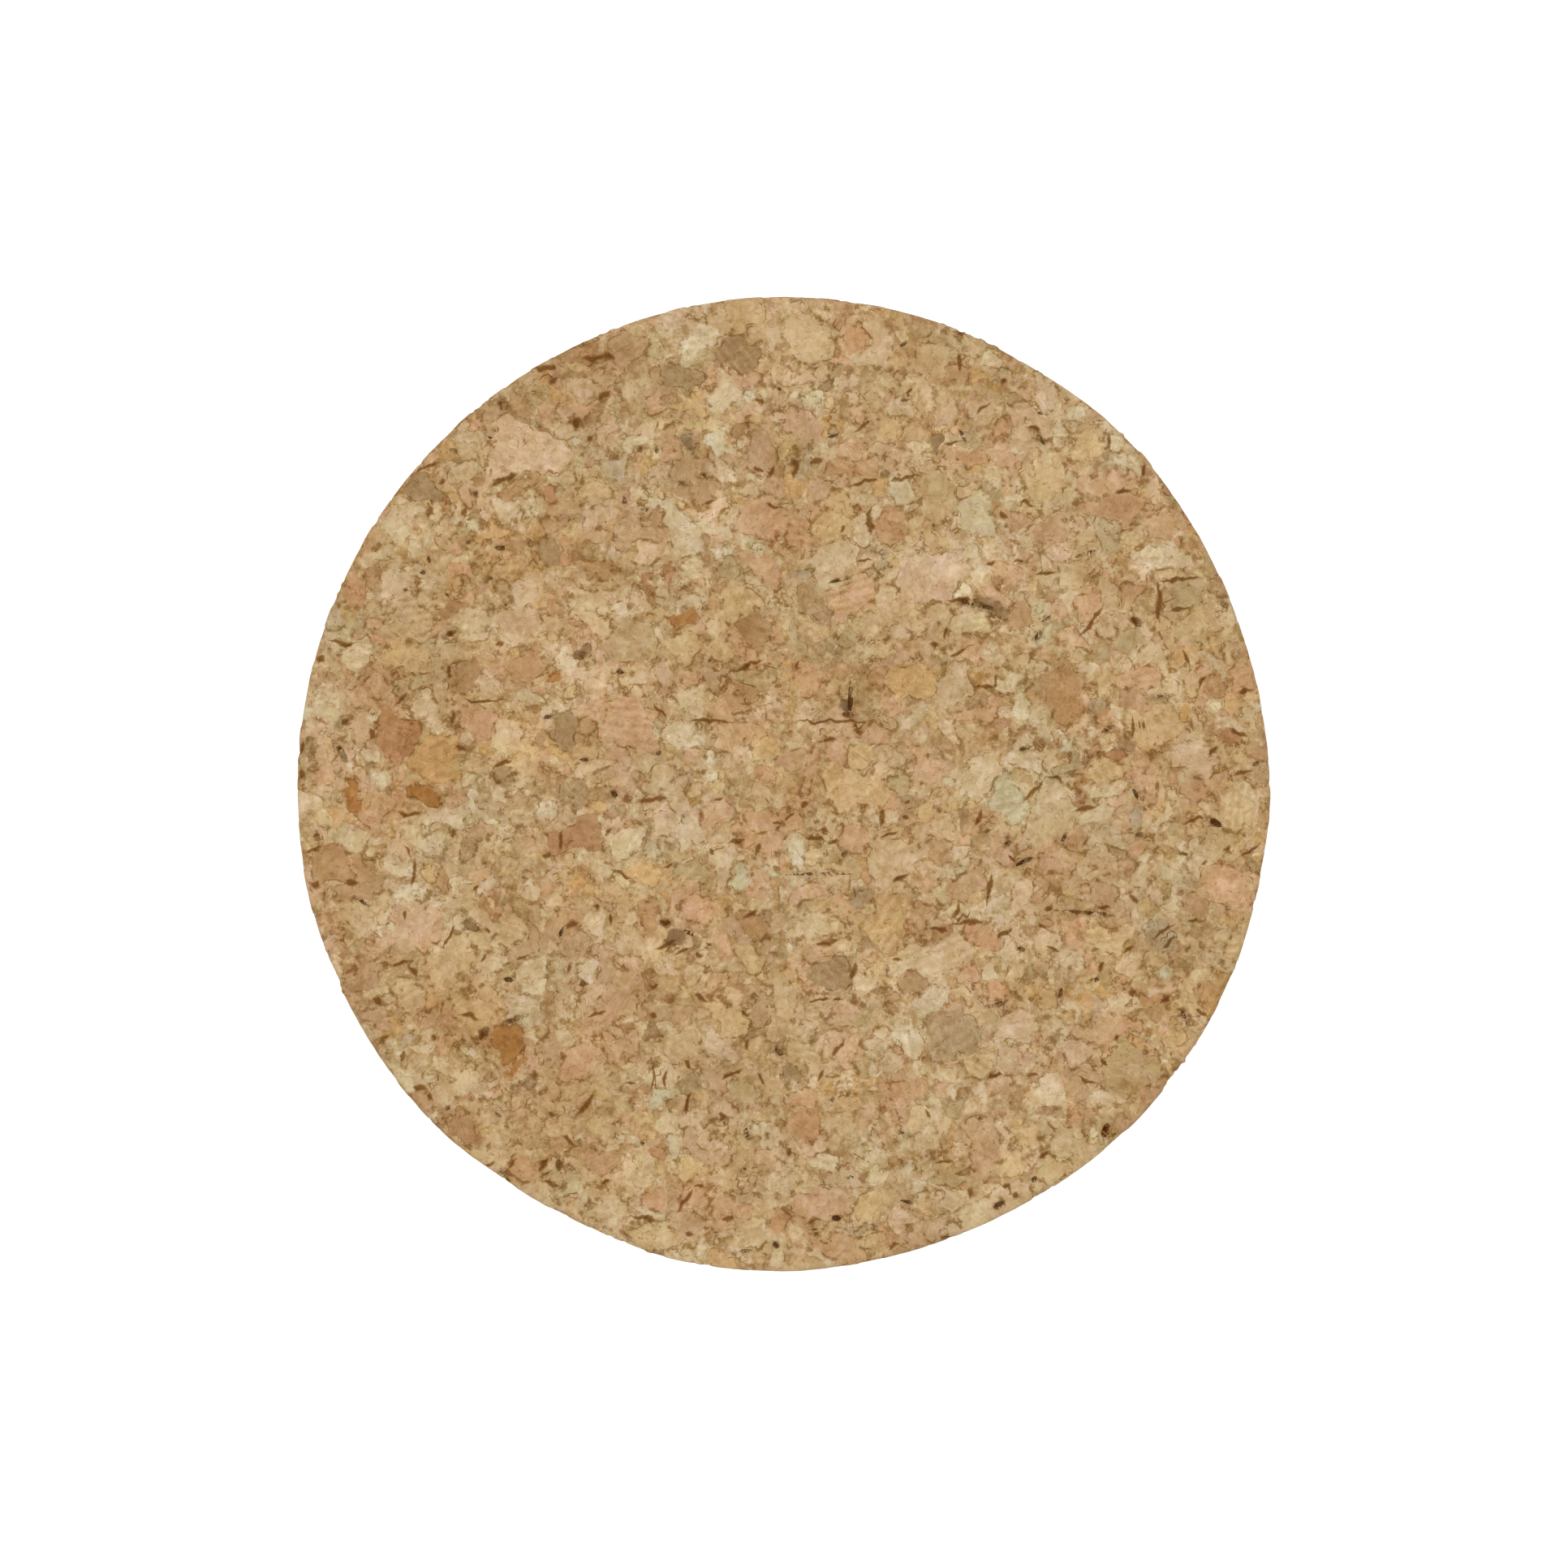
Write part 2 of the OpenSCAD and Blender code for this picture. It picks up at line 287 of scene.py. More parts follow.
# %% Points of the rings
lines, top_rings, foot_rings = ring_lines()
counts = ring_counts(lines, top_rings, foot_rings)
first = np.concatenate([[1], 1 + np.cumsum(counts)])
phase = np.where(np.arange(len(lines)) % 2 == 1, 0.5, 0.0)
point_line = np.concatenate([[0], np.repeat(lines, counts), [LINE_END]])
ring_of = np.repeat(np.arange(len(lines)), counts)
number = np.arange(len(ring_of)) - (first[:-1] - 1)[ring_of]
point_turn = np.concatenate([[0], 2 * np.pi * (number + phase[ring_of]) / counts[ring_of], [0]])
print(f"{len(lines)} rings, {len(point_line)} points")


# %% Triangles between the rings
def zip_rings(a, b):
    """Triangles between ring a and ring b. Each edge of a meets the point of b nearest to its
    middle, and each edge of b meets the point of a at which that nearest point changes."""
    count_a, count_b = counts[a], counts[b]
    edge_a = np.arange(count_a)
    near_b = np.floor((edge_a + 0.5 + phase[a]) / count_a * count_b - phase[b] + 0.5).astype(int)
    edge_b = near_b[0] + np.arange(count_b)
    near_a = np.searchsorted(np.append(near_b, near_b[0] + count_b), edge_b, side="right")

    def on_a(k):
        return k % count_a + first[a]

    def on_b(k):
        return k % count_b + first[b]

    from_a = np.stack([on_a(edge_a), on_b(near_b), on_a(edge_a + 1)], axis=1)
    from_b = np.stack([on_b(edge_b), on_b(edge_b + 1), on_a(near_a)], axis=1)
    return np.vstack([from_a, from_b])


def close_ends():
    """Fans of triangles that close the middle of the two ends."""
    k = np.arange(counts[0])
    top = np.stack([0 * k, first[0] + k, first[0] + (k + 1) % counts[0]], axis=1)
    last = len(counts) - 1
    k = np.arange(counts[last])
    middle = np.full(len(k), len(point_line) - 1)
    foot = np.stack([first[last] + k, middle, first[last] + (k + 1) % counts[last]], axis=1)
    return np.vstack([top, foot])


triangles = np.vstack([zip_rings(i, i + 1) for i in range(len(lines) - 1)] + [close_ends()])
print(len(triangles), "triangles before the granules are cut in")

# %% [markdown]
# ## Granules as flat-faced lumps
#
# Ground cork is angular: each granule is roughly a lump bounded by flat breaks. So
# a granule here is the space inside nine planes, and a point's depth in it is the
# largest of its distances beyond those planes, which is negative inside. The
# stopper's skin is what is left when a saw cuts through thousands of them.
#
# Granules come in sizes. The large ones are laid first, and the smaller ones take
# what is left, as happens when the mix is pressed. They sit on jittered grids, so
# a point only has to be compared with the grid cells around it.

# %% Planes of a lump
PLANES = 9
PLANE_SHAKE = 0.34
PLANE_SHARE = (0.62, 1.0)
MOST_STRETCH = 0.9
STRETCH_POWER = 1.5
FAR = 9.0
GOLDEN_ANGLE = math.pi * (3 - math.sqrt(5))


def even_directions(count):
    """Directions spread evenly over a ball: equal steps in height, and one golden angle
    of turn for each."""
    k = np.arange(count)
    z = 1 - 2 * (k + 0.5) / count
    ring = np.sqrt(1 - z**2)
    turn = GOLDEN_ANGLE * k
    return np.stack([ring * np.cos(turn), ring * np.sin(turn), z], axis=1)


def random_turns(rng, count):
    """Random rotation matrices, made from unit quaternions."""
    q = rng.normal(size=(count, 4))
    w, x, y, z = (q / np.linalg.norm(q, axis=1, keepdims=True)).T
    rows = [
        [1 - 2 * (y * y + z * z), 2 * (x * y - z * w), 2 * (x * z + y * w)],
        [2 * (x * y + z * w), 1 - 2 * (x * x + z * z), 2 * (y * z - x * w)],
        [2 * (x * z - y * w), 2 * (y * z + x * w), 1 - 2 * (x * x + y * y)],
    ]
    return np.moveaxis(np.array(rows), 2, 0)


def lumps(rng, centres, size):
    """Normals and plane distances of granules: nine even directions, shaken and turned at
    random. A distance is the size times a random share times the lengthening, over the
    root of the mean lengthening. The lengthening is 1 plus the stretch times a power of
    the cosine to one random axis."""
    count = len(centres)
    shake = rng.normal(scale=PLANE_SHAKE, size=(count, PLANES, 3))
    normal = even_directions(PLANES)[None] + shake
    normal = np.einsum("gij,gkj->gki", random_turns(rng, count), normal)
    normal /= np.linalg.norm(normal, axis=2, keepdims=True)
    axis = rng.normal(size=(count, 1, 3))
    axis /= np.linalg.norm(axis, axis=2, keepdims=True)
    stretch = rng.uniform(0, MOST_STRETCH, size=(count, 1))
    longer = 1 + stretch * np.abs(np.sum(normal * axis, axis=2)) ** STRETCH_POWER
    share = rng.uniform(*PLANE_SHARE, size=(count, PLANES))
    return normal, share * longer * size[:, None] / np.sqrt(longer.mean(axis=1, keepdims=True))


# %% Smooth drift of the joints
# reach in mm, wavelength in mm and seed of each drift that bends the joints
BENDS = [(0.24, 2.6, 11), (0.14, 1.0, 12), (0.08, 0.55, 13)]


def drift(points, wavelength, seed, waves=14):
    """A smooth random push at each point, of size about 1: a sum of sine waves in random
    directions, each near the wavelength."""
    rng = np.random.default_rng(seed)
    direction = rng.normal(size=(waves, 3))
    direction /= np.linalg.norm(direction, axis=1, keepdims=True)
    wave = direction * (2 * np.pi / (wavelength * rng.uniform(0.7, 1.4, size=(waves, 1))))
    start = rng.uniform(0, 2 * np.pi, size=waves)
    push = rng.normal(size=(waves, 3))
    return np.sin(points @ wave.T + start) @ push * math.sqrt(2 / (3 * waves))


def bent(points):
    """Points pushed a little, so that the joints between granules aren't straight cuts."""
    moved = points
    for reach, wavelength, seed in BENDS:
        moved = moved + reach * drift(points, wavelength, seed)
    return moved


# %% [markdown]
# ## Tones of cork
#
# Clean cork is a warm tan. Granules from nearer the bark are brown or olive, those
# from the belly of the plank are pale, and many lean to pink. The tones are given
# as display colours and turned into light reflectances once.

# %% Tones
TONES = {
    "cream": (210, 189, 152),
    "pale": (203, 177, 138),
    "light": (202, 174, 131),
    "tan": (192, 161, 117),
    "straw": (198, 165, 116),
    "golden": (196, 157, 104),
    "amber": (174, 122, 67),
    "rose": (197, 157, 116),
    "pale_rose": (203, 170, 131),
    "fawn": (186, 150, 109),
    "brown": (173, 134, 90),
    "russet": (174, 129, 87),
    "chestnut": (164, 116, 62),
    "olive": (180, 152, 107),
    "olive_brown": (162, 131, 90),
    "grey": (174, 149, 112),
    "umber": (143, 114, 77),
    "sage": (191, 168, 127),
    "mint": (193, 179, 141),
    "copper": (187, 145, 102),
    "dusky": (189, 151, 112),
}
TONE_NAMES = list(TONES)
LIGHT_LEVEL = 1.25


def reflectance(rgb):
    """Linear reflectance of a display colour, less the light level that the lamps give."""
    c = np.asarray(rgb, float) / 255
    linear = np.where(c <= 0.04045, c / 12.92, ((c + 0.055) / 1.055) ** 2.4)
    return linear / LIGHT_LEVEL


TONE_TABLE = np.array([reflectance(TONES[name]) for name in TONE_NAMES])
TONE_SHARES = {
    "cream": 2, "pale": 8, "light": 15, "tan": 19, "straw": 10, "golden": 2, "amber": 0.2,
    "rose": 13, "pale_rose": 7, "fawn": 10, "brown": 3.5, "russet": 1, "chestnut": 0.1,
    "olive": 5, "olive_brown": 1.5, "grey": 1, "umber": 0.1, "sage": 2, "mint": 0.5,
    "copper": 3, "dusky": 4,
}
SHARES = np.array([TONE_SHARES[name] for name in TONE_NAMES])
SHARES = SHARES / SHARES.sum()

# %% [markdown]
# ## Granules that are placed one by one
#
# Most granules fall where chance puts them. The ones that give this wide end its
# face are placed one by one: where they are, how long and wide, which way they
# lie, and their tone.

# %% Placed granules of the wide end
# by tone: x, y, length, width, turn
PLACED = {
    "cream": [
        (-4.1, 21.8, 2.0, 1.7, 20), (-10.4, 17.1, 0.7, 0.5, 0), (-3.1, 16.9, 2.0, 0.8, 96),
        (-1.7, 19.2, 0.9, 0.6, 45), (-15.3, 12.6, 1.0, 0.8, 0), (-12.2, 13.3, 1.0, 0.4, 95),
        (-16.3, 13.0, 0.8, 0.4, 20), (4.3, 23.0, 1.1, 0.8, 100), (10.2, 21.0, 1.2, 0.9, 20),
        (9.3, 20.5, 0.7, 0.4, 20), (1.2, 19.2, 1.3, 0.6, 0), (1.5, 18.7, 0.7, 0.4, 90),
        (14.4, 18.4, 0.8, 0.7, 0), (-14.8, 10.1, 0.6, 0.5, 0), (-16.7, 2.6, 0.8, 0.4, 0),
        (-14.1, 5.3, 0.7, 0.4, 10), (-19.8, 2.9, 0.6, 0.5, 0), (-19.7, 0.3, 1.3, 0.7, 100),
        (-8.0, 8.5, 2.4, 0.8, 0), (-10.5, 9.0, 1.2, 0.4, 5), (-3.4, 1.2, 1.3, 0.5, 90),
        (8.9, 9.3, 1.8, 0.4, -10), (11.7, 3.9, 2.4, 1.0, 100), (16.4, 3.1, 1.1, 0.5, 90),
        (13.7, 2.1, 1.1, 0.8, 120), (18.4, 11.2, 3.8, 1.1, 172), (23.2, 4.0, 1.0, 0.6, 100),
        (21.1, 3.9, 0.8, 0.6, 90), (-15.2, -0.9, 1.5, 1.0, 90), (-21.6, -3.1, 0.7, 0.5, 0),
        (4.4, -6.1, 0.8, 0.6, 0), (10.0, -9.2, 1.0, 0.7, 30), (0.5, -8.1, 0.9, 0.6, 80),
        (4.4, -1.5, 0.8, 0.5, 80), (-7.7, -17.2, 1.4, 0.5, 170), (-7.4, -17.7, 0.9, 0.5, 150),
        (6.4, -19.2, 1.2, 0.8, 90), (7.0, -19.9, 0.9, 0.5, 0), (1.4, -14.6, 0.8, 0.6, 100),
        (3.0, -14.6, 1.1, 0.6, 10), (-17.0, -16.3, 0.9, 0.6, 130), (-15.3, -13.3, 0.8, 0.6, 0),
        (17.9, -12.5, 1.0, 0.4, 115), (15.4, -17.2, 1.0, 0.5, 80),
    ],
    "pale": [
        (-3.0, 15.4, 2.0, 1.0, 140), (-2.3, 16.5, 0.9, 0.8, 0), (5.6, 18.4, 1.3, 0.9, 0),
        (13.3, 17.5, 1.3, 1.1, 90), (16.6, 16.5, 1.5, 1.1, 150), (-20.6, 6.4, 2.4, 1.4, 0),
        (-17.8, 3.8, 2.1, 1.4, 145), (-12.7, 9.4, 1.7, 1.4, 90), (-20.3, 1.4, 1.2, 0.5, 110),
        (-10.9, 6.3, 2.0, 0.8, 90), (-3.4, 0.4, 0.9, 0.7, 0), (5.6, 7.5, 1.4, 1.2, 90),
        (8.3, 2.7, 1.8, 1.0, 0), (12.6, 3.0, 1.8, 1.4, 120), (10.9, 5.2, 1.7, 1.2, 20),
        (15.2, 2.5, 0.9, 0.6, 0), (17.5, 10.4, 1.2, 0.7, 120), (-16.5, -1.4, 2.4, 1.4, 0),
        (-20.4, -3.3, 0.8, 0.6, 0), (-18.2, -5.3, 1.5, 0.8, 0), (-12.6, -5.0, 1.3, 1.0, 0),
        (-11.7, -1.1, 1.2, 1.0, 0), (-9.3, -6.8, 1.6, 1.1, 0), (-9.7, -9.1, 1.5, 1.0, 70),
        (0.5, -3.2, 2.2, 1.6, 90), (8.7, -3.3, 1.0, 0.8, 0), (5.2, -1.5, 0.9, 0.7, 80),
        (16.5, -10.7, 2.6, 0.8, 5), (-10.3, -16.4, 1.7, 0.4, 45), (6.3, -12.5, 2.0, 1.3, 95),
        (2.1, -18.6, 1.7, 1.4, 0), (13.2, -15.2, 1.7, 1.6, 0), (15.7, -15.4, 1.9, 1.0, 165),
        (-5.9, -9.0, 1.3, 0.8, 0),
    ],
    "light": [
        (-0.4, 21.9, 1.5, 1.2, 90), (-6.6, 17.2, 1.7, 1.4, 80), (-3.0, 19.1, 2.2, 1.5, 30),
        (-15.9, 15.5, 1.8, 1.4, 10), (-18.9, 12.7, 2.4, 1.8, 110), (1.5, 16.4, 1.3, 0.9, 30),
        (17.0, 12.3, 1.4, 0.9, 10), (-13.4, 2.2, 1.9, 1.6, 90), (-4.4, 10.6, 1.4, 1.2, 0),
        (-3.3, 7.6, 1.4, 1.2, 0), (-4.4, 4.1, 2.4, 1.4, 0), (-5.2, 2.5, 1.6, 1.3, 0),
        (-9.3, 0.7, 2.6, 1.0, 0), (4.5, 7.7, 1.5, 1.1, 0), (4.6, 6.6, 1.5, 0.9, 0),
        (9.1, 7.8, 2.3, 2.1, 0), (9.6, 0.6, 3.2, 1.8, 80), (16.1, 2.1, 1.3, 0.7, 10),
        (-19.0, -4.0, 2.1, 1.4, 0), (-16.1, -4.9, 1.3, 0.9, 90), (-13.6, -7.0, 1.8, 1.5, 80),
        (-14.2, -8.8, 1.3, 1.2, 0), (-12.3, -9.2, 2.3, 1.7, 20), (-18.3, -10.2, 1.8, 1.6, 60),
        (-7.6, -2.8, 2.2, 1.9, 50), (-9.3, -3.9, 2.0, 1.0, 0), (-4.3, -9.2, 1.6, 1.1, 0),
        (5.6, -5.1, 1.2, 1.0, 60), (7.6, -5.5, 1.2, 0.9, 0), (22.4, -1.1, 2.6, 2.3, 60),
        (17.5, -4.2, 1.7, 1.3, 70), (15.7, -0.3, 2.0, 1.1, 10), (17.0, -8.9, 1.8, 0.9, 10),
        (-3.0, -19.2, 1.6, 1.4, 0), (-8.6, -20.8, 2.4, 1.8, 95), (-1.5, -22.0, 1.7, 1.5, 60),
        (-6.0, -14.3, 2.2, 1.5, 0), (8.5, -20.5, 1.7, 1.3, 0), (-14.0, -17.2, 1.5, 1.3, 0),
        (-16.6, -13.8, 1.4, 0.8, 0), (1.3, 21.8, 2.5, 2.2, 80), (16.0, -7.4, 2.6, 1.4, 0),
    ],
    "tan": [
        (7.3, 21.0, 2.0, 1.8, 0), (-18.1, 8.2, 2.4, 2.1, 90), (5.2, 1.4, 1.6, 1.4, 0),
        (20.3, 7.8, 2.8, 1.8, 20), (14.5, 10.3, 2.5, 1.4, 10), (-20.8, -6.6, 1.8, 1.7, 0),
        (13.1, -1.4, 3.5, 2.4, 60), (-9.3, -16.9, 1.9, 1.3, 20), (7.6, 14.0, 2.6, 2.1, 60),
        (-7.5, 6.9, 2.6, 2.0, 20), (8.4, 4.9, 2.2, 1.8, 0),
    ],
    "straw": [
        (-4.2, 17.6, 1.4, 0.8, 0), (-1.4, 17.7, 1.1, 0.8, 0), (-9.3, 14.4, 2.6, 0.9, 0),
        (2.4, 12.6, 2.6, 1.4, 10), (5.2, 17.4, 1.6, 1.2, 30), (14.9, 16.6, 2.1, 1.5, 0),
        (12.7, 15.2, 2.6, 2.2, 80), (-18.4, 6.3, 1.8, 1.3, 0), (-4.9, 6.9, 2.0, 1.5, 0),
        (-0.9, 1.6, 1.7, 1.4, 0), (2.6, 4.8, 1.8, 1.0, 90), (3.8, 1.3, 1.9, 0.8, 90),
        (18.3, 2.9, 3.2, 2.3, 10), (15.6, 0.6, 2.9, 1.0, 5), (15.6, 4.9, 1.7, 1.4, 90),
        (5.1, -6.9, 3.2, 2.3, 100), (1.5, -3.6, 1.4, 0.9, 90), (-1.7, -8.4, 1.5, 1.2, 0),
        (-4.6, -19.0, 1.6, 1.4, 80), (-6.3, -22.3, 3.1, 1.3, 172), (11.2, -18.7, 1.7, 1.5, 0),
        (4.2, -20.6, 1.8, 1.6, 0), (4.3, -22.3, 1.8, 1.2, 10), (9.6, -13.6, 2.3, 1.2, 0),
        (19.2, -12.6, 1.5, 1.4, 0), (13.3, -18.8, 2.1, 1.4, 20),
    ],
    "golden": [
        (-17.2, 1.2, 2.9, 2.5, 30), (6.3, 5.1, 2.4, 1.9, 0), (19.8, 3.2, 1.6, 0.9, 80),
        (-19.4, -2.5, 0.9, 0.7, 0), (-7.0, -4.3, 2.1, 1.2, 10), (21.3, -10.0, 2.4, 1.5, 60),
    ],
    "amber": [
        (2.1, 18.0, 0.7, 0.5, 90), (-21.0, -0.7, 1.4, 1.0, 100), (-11.2, 5.2, 0.8, 0.4, 10),
        (-5.2, 8.2, 1.7, 1.0, 10), (-13.2, -13.6, 1.3, 0.8, 10),
    ],
    "rose": [
        (-10.0, 18.7, 1.5, 1.1, 100), (-8.6, 17.1, 1.5, 1.2, 60), (-1.0, 13.0, 2.8, 1.8, 5),
        (-15.7, 14.1, 1.3, 1.0, 90), (-15.4, 17.9, 1.1, 0.9, 40), (3.4, 21.9, 1.8, 1.5, 110),
        (0.9, 17.7, 2.1, 1.4, 0), (15.8, 14.7, 3.0, 1.2, 5), (-22.6, 1.5, 3.4, 1.5, 92),
        (-15.7, 9.4, 1.1, 0.9, 0), (-15.0, 3.0, 2.1, 1.8, 0), (-16.0, 10.6, 2.0, 0.8, 5),
        (-0.9, 10.6, 1.8, 1.5, 0), (-4.7, 5.4, 1.6, 0.9, 0), (-7.5, 2.9, 3.1, 2.6, 60),
        (-4.5, 1.4, 1.2, 1.0, 0), (1.2, 5.3, 1.9, 1.6, 0), (11.0, 10.5, 1.6, 1.0, 0),
        (15.0, 8.6, 2.0, 1.2, 60), (22.4, 5.4, 1.5, 1.2, 70), (17.5, 5.2, 2.2, 1.0, 10),
        (-17.8, -7.0, 2.9, 2.3, 40), (-14.8, -4.4, 1.3, 0.9, 30), (-1.3, -1.8, 2.0, 1.5, 0),
        (-4.0, -6.2, 2.5, 1.6, 160), (-3.4, -1.4, 2.0, 1.2, 0), (3.5, -2.8, 1.8, 1.5, 60),
        (10.4, -10.2, 1.7, 1.3, 60), (1.3, -5.5, 2.6, 1.0, 10), (21.7, -5.0, 3.0, 2.0, 160),
        (20.2, -0.5, 1.4, 1.2, 0), (-9.9, -13.7, 2.8, 2.1, 10), (0.9, -15.4, 2.2, 1.1, 0),
        (-12.8, -19.0, 1.5, 1.2, 30), (3.4, 9.2, 2.8, 2.0, 20), (1.8, -20.6, 3.0, 1.5, 5),
        (-20.2, 4.4, 2.7, 1.6, 0),
    ],
    "pale_rose": [
        (-10.1, 19.6, 1.7, 1.1, 10), (-3.3, 13.4, 1.7, 0.9, 10), (-6.4, 14.9, 0.9, 0.6, 0),
        (-12.7, 16.3, 4.2, 2.9, 10), (-14.7, 13.8, 2.6, 0.8, 82), (8.2, 12.8, 1.6, 0.5, 80),
        (0.4, 23.3, 1.1, 0.9, 0), (12.9, 19.2, 1.8, 1.5, 50), (18.1, 14.7, 1.4, 1.0, 110),
        (-18.9, 9.6, 2.3, 1.3, 0), (-6.1, 5.5, 1.4, 0.9, 90), (-7.2, 8.9, 1.2, 0.9, 60),
        (-6.6, 11.3, 1.8, 1.0, 0), (-1.5, 3.3, 1.6, 1.0, 0), (-2.3, 1.8, 1.1, 0.9, 0),
        (7.2, 10.3, 3.8, 2.9, 20), (1.5, 2.6, 1.1, 0.8, 0), (20.2, 1.2, 2.6, 1.2, 0),
        (13.7, 11.4, 1.9, 1.0, 10), (-22.2, -7.8, 1.4, 0.9, 60), (-5.9, -2.0, 1.9, 1.7, 80),
        (-7.6, -8.7, 1.5, 1.0, 20), (-11.4, -4.1, 1.5, 0.8, 10), (-2.9, -3.1, 0.9, 0.4, 0),
        (11.5, -5.3, 1.9, 1.5, 80), (11.3, -11.9, 3.0, 1.6, 20), (19.5, -9.3, 1.0, 0.8, 90),
        (-9.4, -10.4, 1.8, 0.8, 10), (-3.2, -12.8, 1.7, 1.5, 20), (-1.0, -18.4, 1.5, 1.2, 0),
        (-3.4, -17.6, 1.6, 0.7, 0), (5.9, -21.6, 1.9, 1.2, 0), (14.4, -13.1, 1.7, 1.5, 90),
    ],
    "fawn": [
        (-7.6, 21.4, 2.1, 1.8, 70), (17.1, 9.4, 1.8, 1.4, 90), (-20.4, -9.5, 2.6, 1.4, 15),
        (-15.0, -2.3, 1.8, 0.8, 0), (6.8, -6.4, 2.2, 0.9, 95), (7.8, -3.3, 1.3, 1.1, 80),
        (15.8, -5.4, 1.6, 1.3, 0), (-9.3, -18.3, 3.1, 1.1, 0), (9.7, -17.8, 4.0, 1.8, 92),
        (-12.8, -15.5, 1.8, 0.8, 5), (-1.0, 16.1, 2.4, 1.8, 100), (8.9, -5.0, 2.5, 1.6, 20),
    ],
    "brown": [
        (-10.4, 21.3, 2.8, 0.8, 28), (-2.2, 17.4, 0.9, 0.7, 0), (-6.3, 12.9, 1.1, 1.0, 0),
        (-12.9, 14.4, 1.9, 0.8, 10), (-15.8, 5.2, 2.0, 1.7, 90), (-16.2, 8.8, 1.7, 0.9, 10),
        (-5.1, 9.5, 1.0, 0.8, 0), (-1.3, 7.6, 1.7, 1.5, 30), (-1.9, 4.5, 2.6, 0.5, -10),
        (-9.6, 2.9, 1.8, 1.3, 90), (11.5, 8.3, 1.8, 1.6, 0), (10.9, 9.8, 0.8, 0.5, 0),
        (21.3, 4.7, 1.2, 0.9, 0), (-22.1, -4.0, 2.6, 1.9, 5), (-17.0, -4.7, 1.2, 0.9, 90),
        (-1.6, -6.7, 1.2, 1.0, 0), (-6.6, -6.4, 2.1, 1.0, 80), (7.7, -7.4, 1.9, 0.6, 0),
        (5.5, -10.6, 1.2, 0.7, 20), (5.5, -18.4, 1.3, 1.1, 0), (-15.7, -16.8, 1.9, 1.5, 130),
        (-16.9, -0.4, 0.9, 0.5, 10), (13.8, 4.2, 3.5, 2.2, 98),
    ],
    "russet": [
        (-11.6, 14.3, 1.0, 0.8, 60), (-18.8, 2.3, 2.6, 1.9, 105), (-6.4, 9.7, 1.6, 0.5, 90),
        (-5.7, 10.4, 1.2, 0.4, 0), (16.2, 1.3, 1.9, 0.4, 0), (21.9, 2.2, 1.7, 0.8, 165),
        (-10.4, -2.7, 3.9, 1.7, 5), (-6.2, -17.9, 1.3, 0.9, 10), (5.5, -13.1, 1.1, 0.5, 0),
        (-15.1, -15.5, 0.9, 0.7, 0),
    ],
    "copper": [
        (-5.5, 16.7, 2.1, 0.8, 92), (3.3, 15.5, 3.2, 1.0, 5), (5.3, 12.6, 2.2, 1.7, 95),
        (9.2, 16.1, 1.9, 0.9, 15), (10.8, 17.3, 1.8, 1.0, 30), (11.5, 12.9, 1.5, 1.0, 0),
        (15.9, 13.5, 4.2, 1.1, 5), (-12.6, 5.8, 2.5, 1.5, 5), (-21.0, 9.6, 1.9, 1.2, 60),
        (4.7, 5.4, 1.3, 1.0, 0), (9.6, -7.4, 1.9, 1.4, 0), (14.4, -2.8, 1.4, 1.1, 80),
        (17.2, -2.9, 1.5, 1.0, 10), (17.8, -10.4, 2.3, 0.7, 165), (-6.2, -20.4, 1.7, 1.1, 10),
        (-0.3, -21.3, 1.5, 1.1, 90), (6.3, -15.1, 2.7, 1.3, 0), (1.2, -16.8, 2.0, 1.4, 0),
        (14.4, -16.3, 1.2, 0.8, 0),
    ],
    "chestnut": [
        (-13.5, -12.6, 2.1, 1.6, 100), (-17.8, -0.3, 1.9, 0.6, 5),
    ],
    "olive": [
        (-2.6, 10.5, 1.3, 1.3, 0), (-1.3, 5.4, 2.2, 1.4, 10), (3.0, 7.0, 1.8, 1.0, 0),
        (5.5, 0.3, 1.7, 1.0, 0), (-4.5, -4.3, 2.3, 1.2, 10), (-2.0, -14.9, 1.8, 1.4, 0),
        (8.2, -19.3, 1.9, 0.9, 10), (17.2, -13.9, 3.6, 2.3, 175), (12.9, -17.2, 1.2, 0.8, 0),
        (19.8, 9.4, 2.5, 1.5, 5), (17.0, 6.8, 1.5, 1.1, 10),
    ],
    "olive_brown": [
        (-2.2, 21.2, 2.5, 2.1, 95), (-5.0, 20.0, 2.1, 1.7, 10), (-17.7, 14.5, 2.1, 1.7, 20),
        (-13.6, 0.4, 1.3, 0.9, 30), (-11.0, 2.6, 1.8, 1.6, 0), (2.5, -9.2, 2.2, 1.6, 10),
        (0.4, -14.2, 1.3, 0.8, 0),
    ],
    "grey": [
        (0.9, 10.4, 1.6, 0.6, 0), (15.4, 3.7, 1.1, 0.9, 90), (3.7, -5.5, 1.5, 0.6, 5),
        (18.6, -7.4, 2.0, 1.4, 40), (17.3, -1.4, 1.0, 0.8, 90),
    ],
    "umber": [
        (-4.7, 16.7, 0.9, 0.8, 0), (7.5, 16.6, 1.1, 1.0, 0), (-9.9, 6.3, 1.0, 0.8, 160),
        (10.3, 8.6, 1.3, 0.6, -35), (3.2, 3.6, 1.1, 0.6, 20), (-15.3, -7.2, 0.9, 0.6, 10),
        (-5.5, -7.5, 1.1, 0.8, 30),
    ],
    "sage": [
        (5.6, 14.4, 1.8, 1.5, 80), (3.9, 12.9, 0.8, 0.6, 0), (9.6, 13.1, 2.7, 2.2, 80),
        (13.0, 7.3, 1.8, 0.8, 20), (12.5, 8.8, 1.0, 0.8, 0), (-5.2, -17.9, 1.2, 1.0, 40),
        (-10.2, -19.9, 1.4, 1.1, 60), (6.0, -17.4, 0.8, 0.5, 10),
    ],
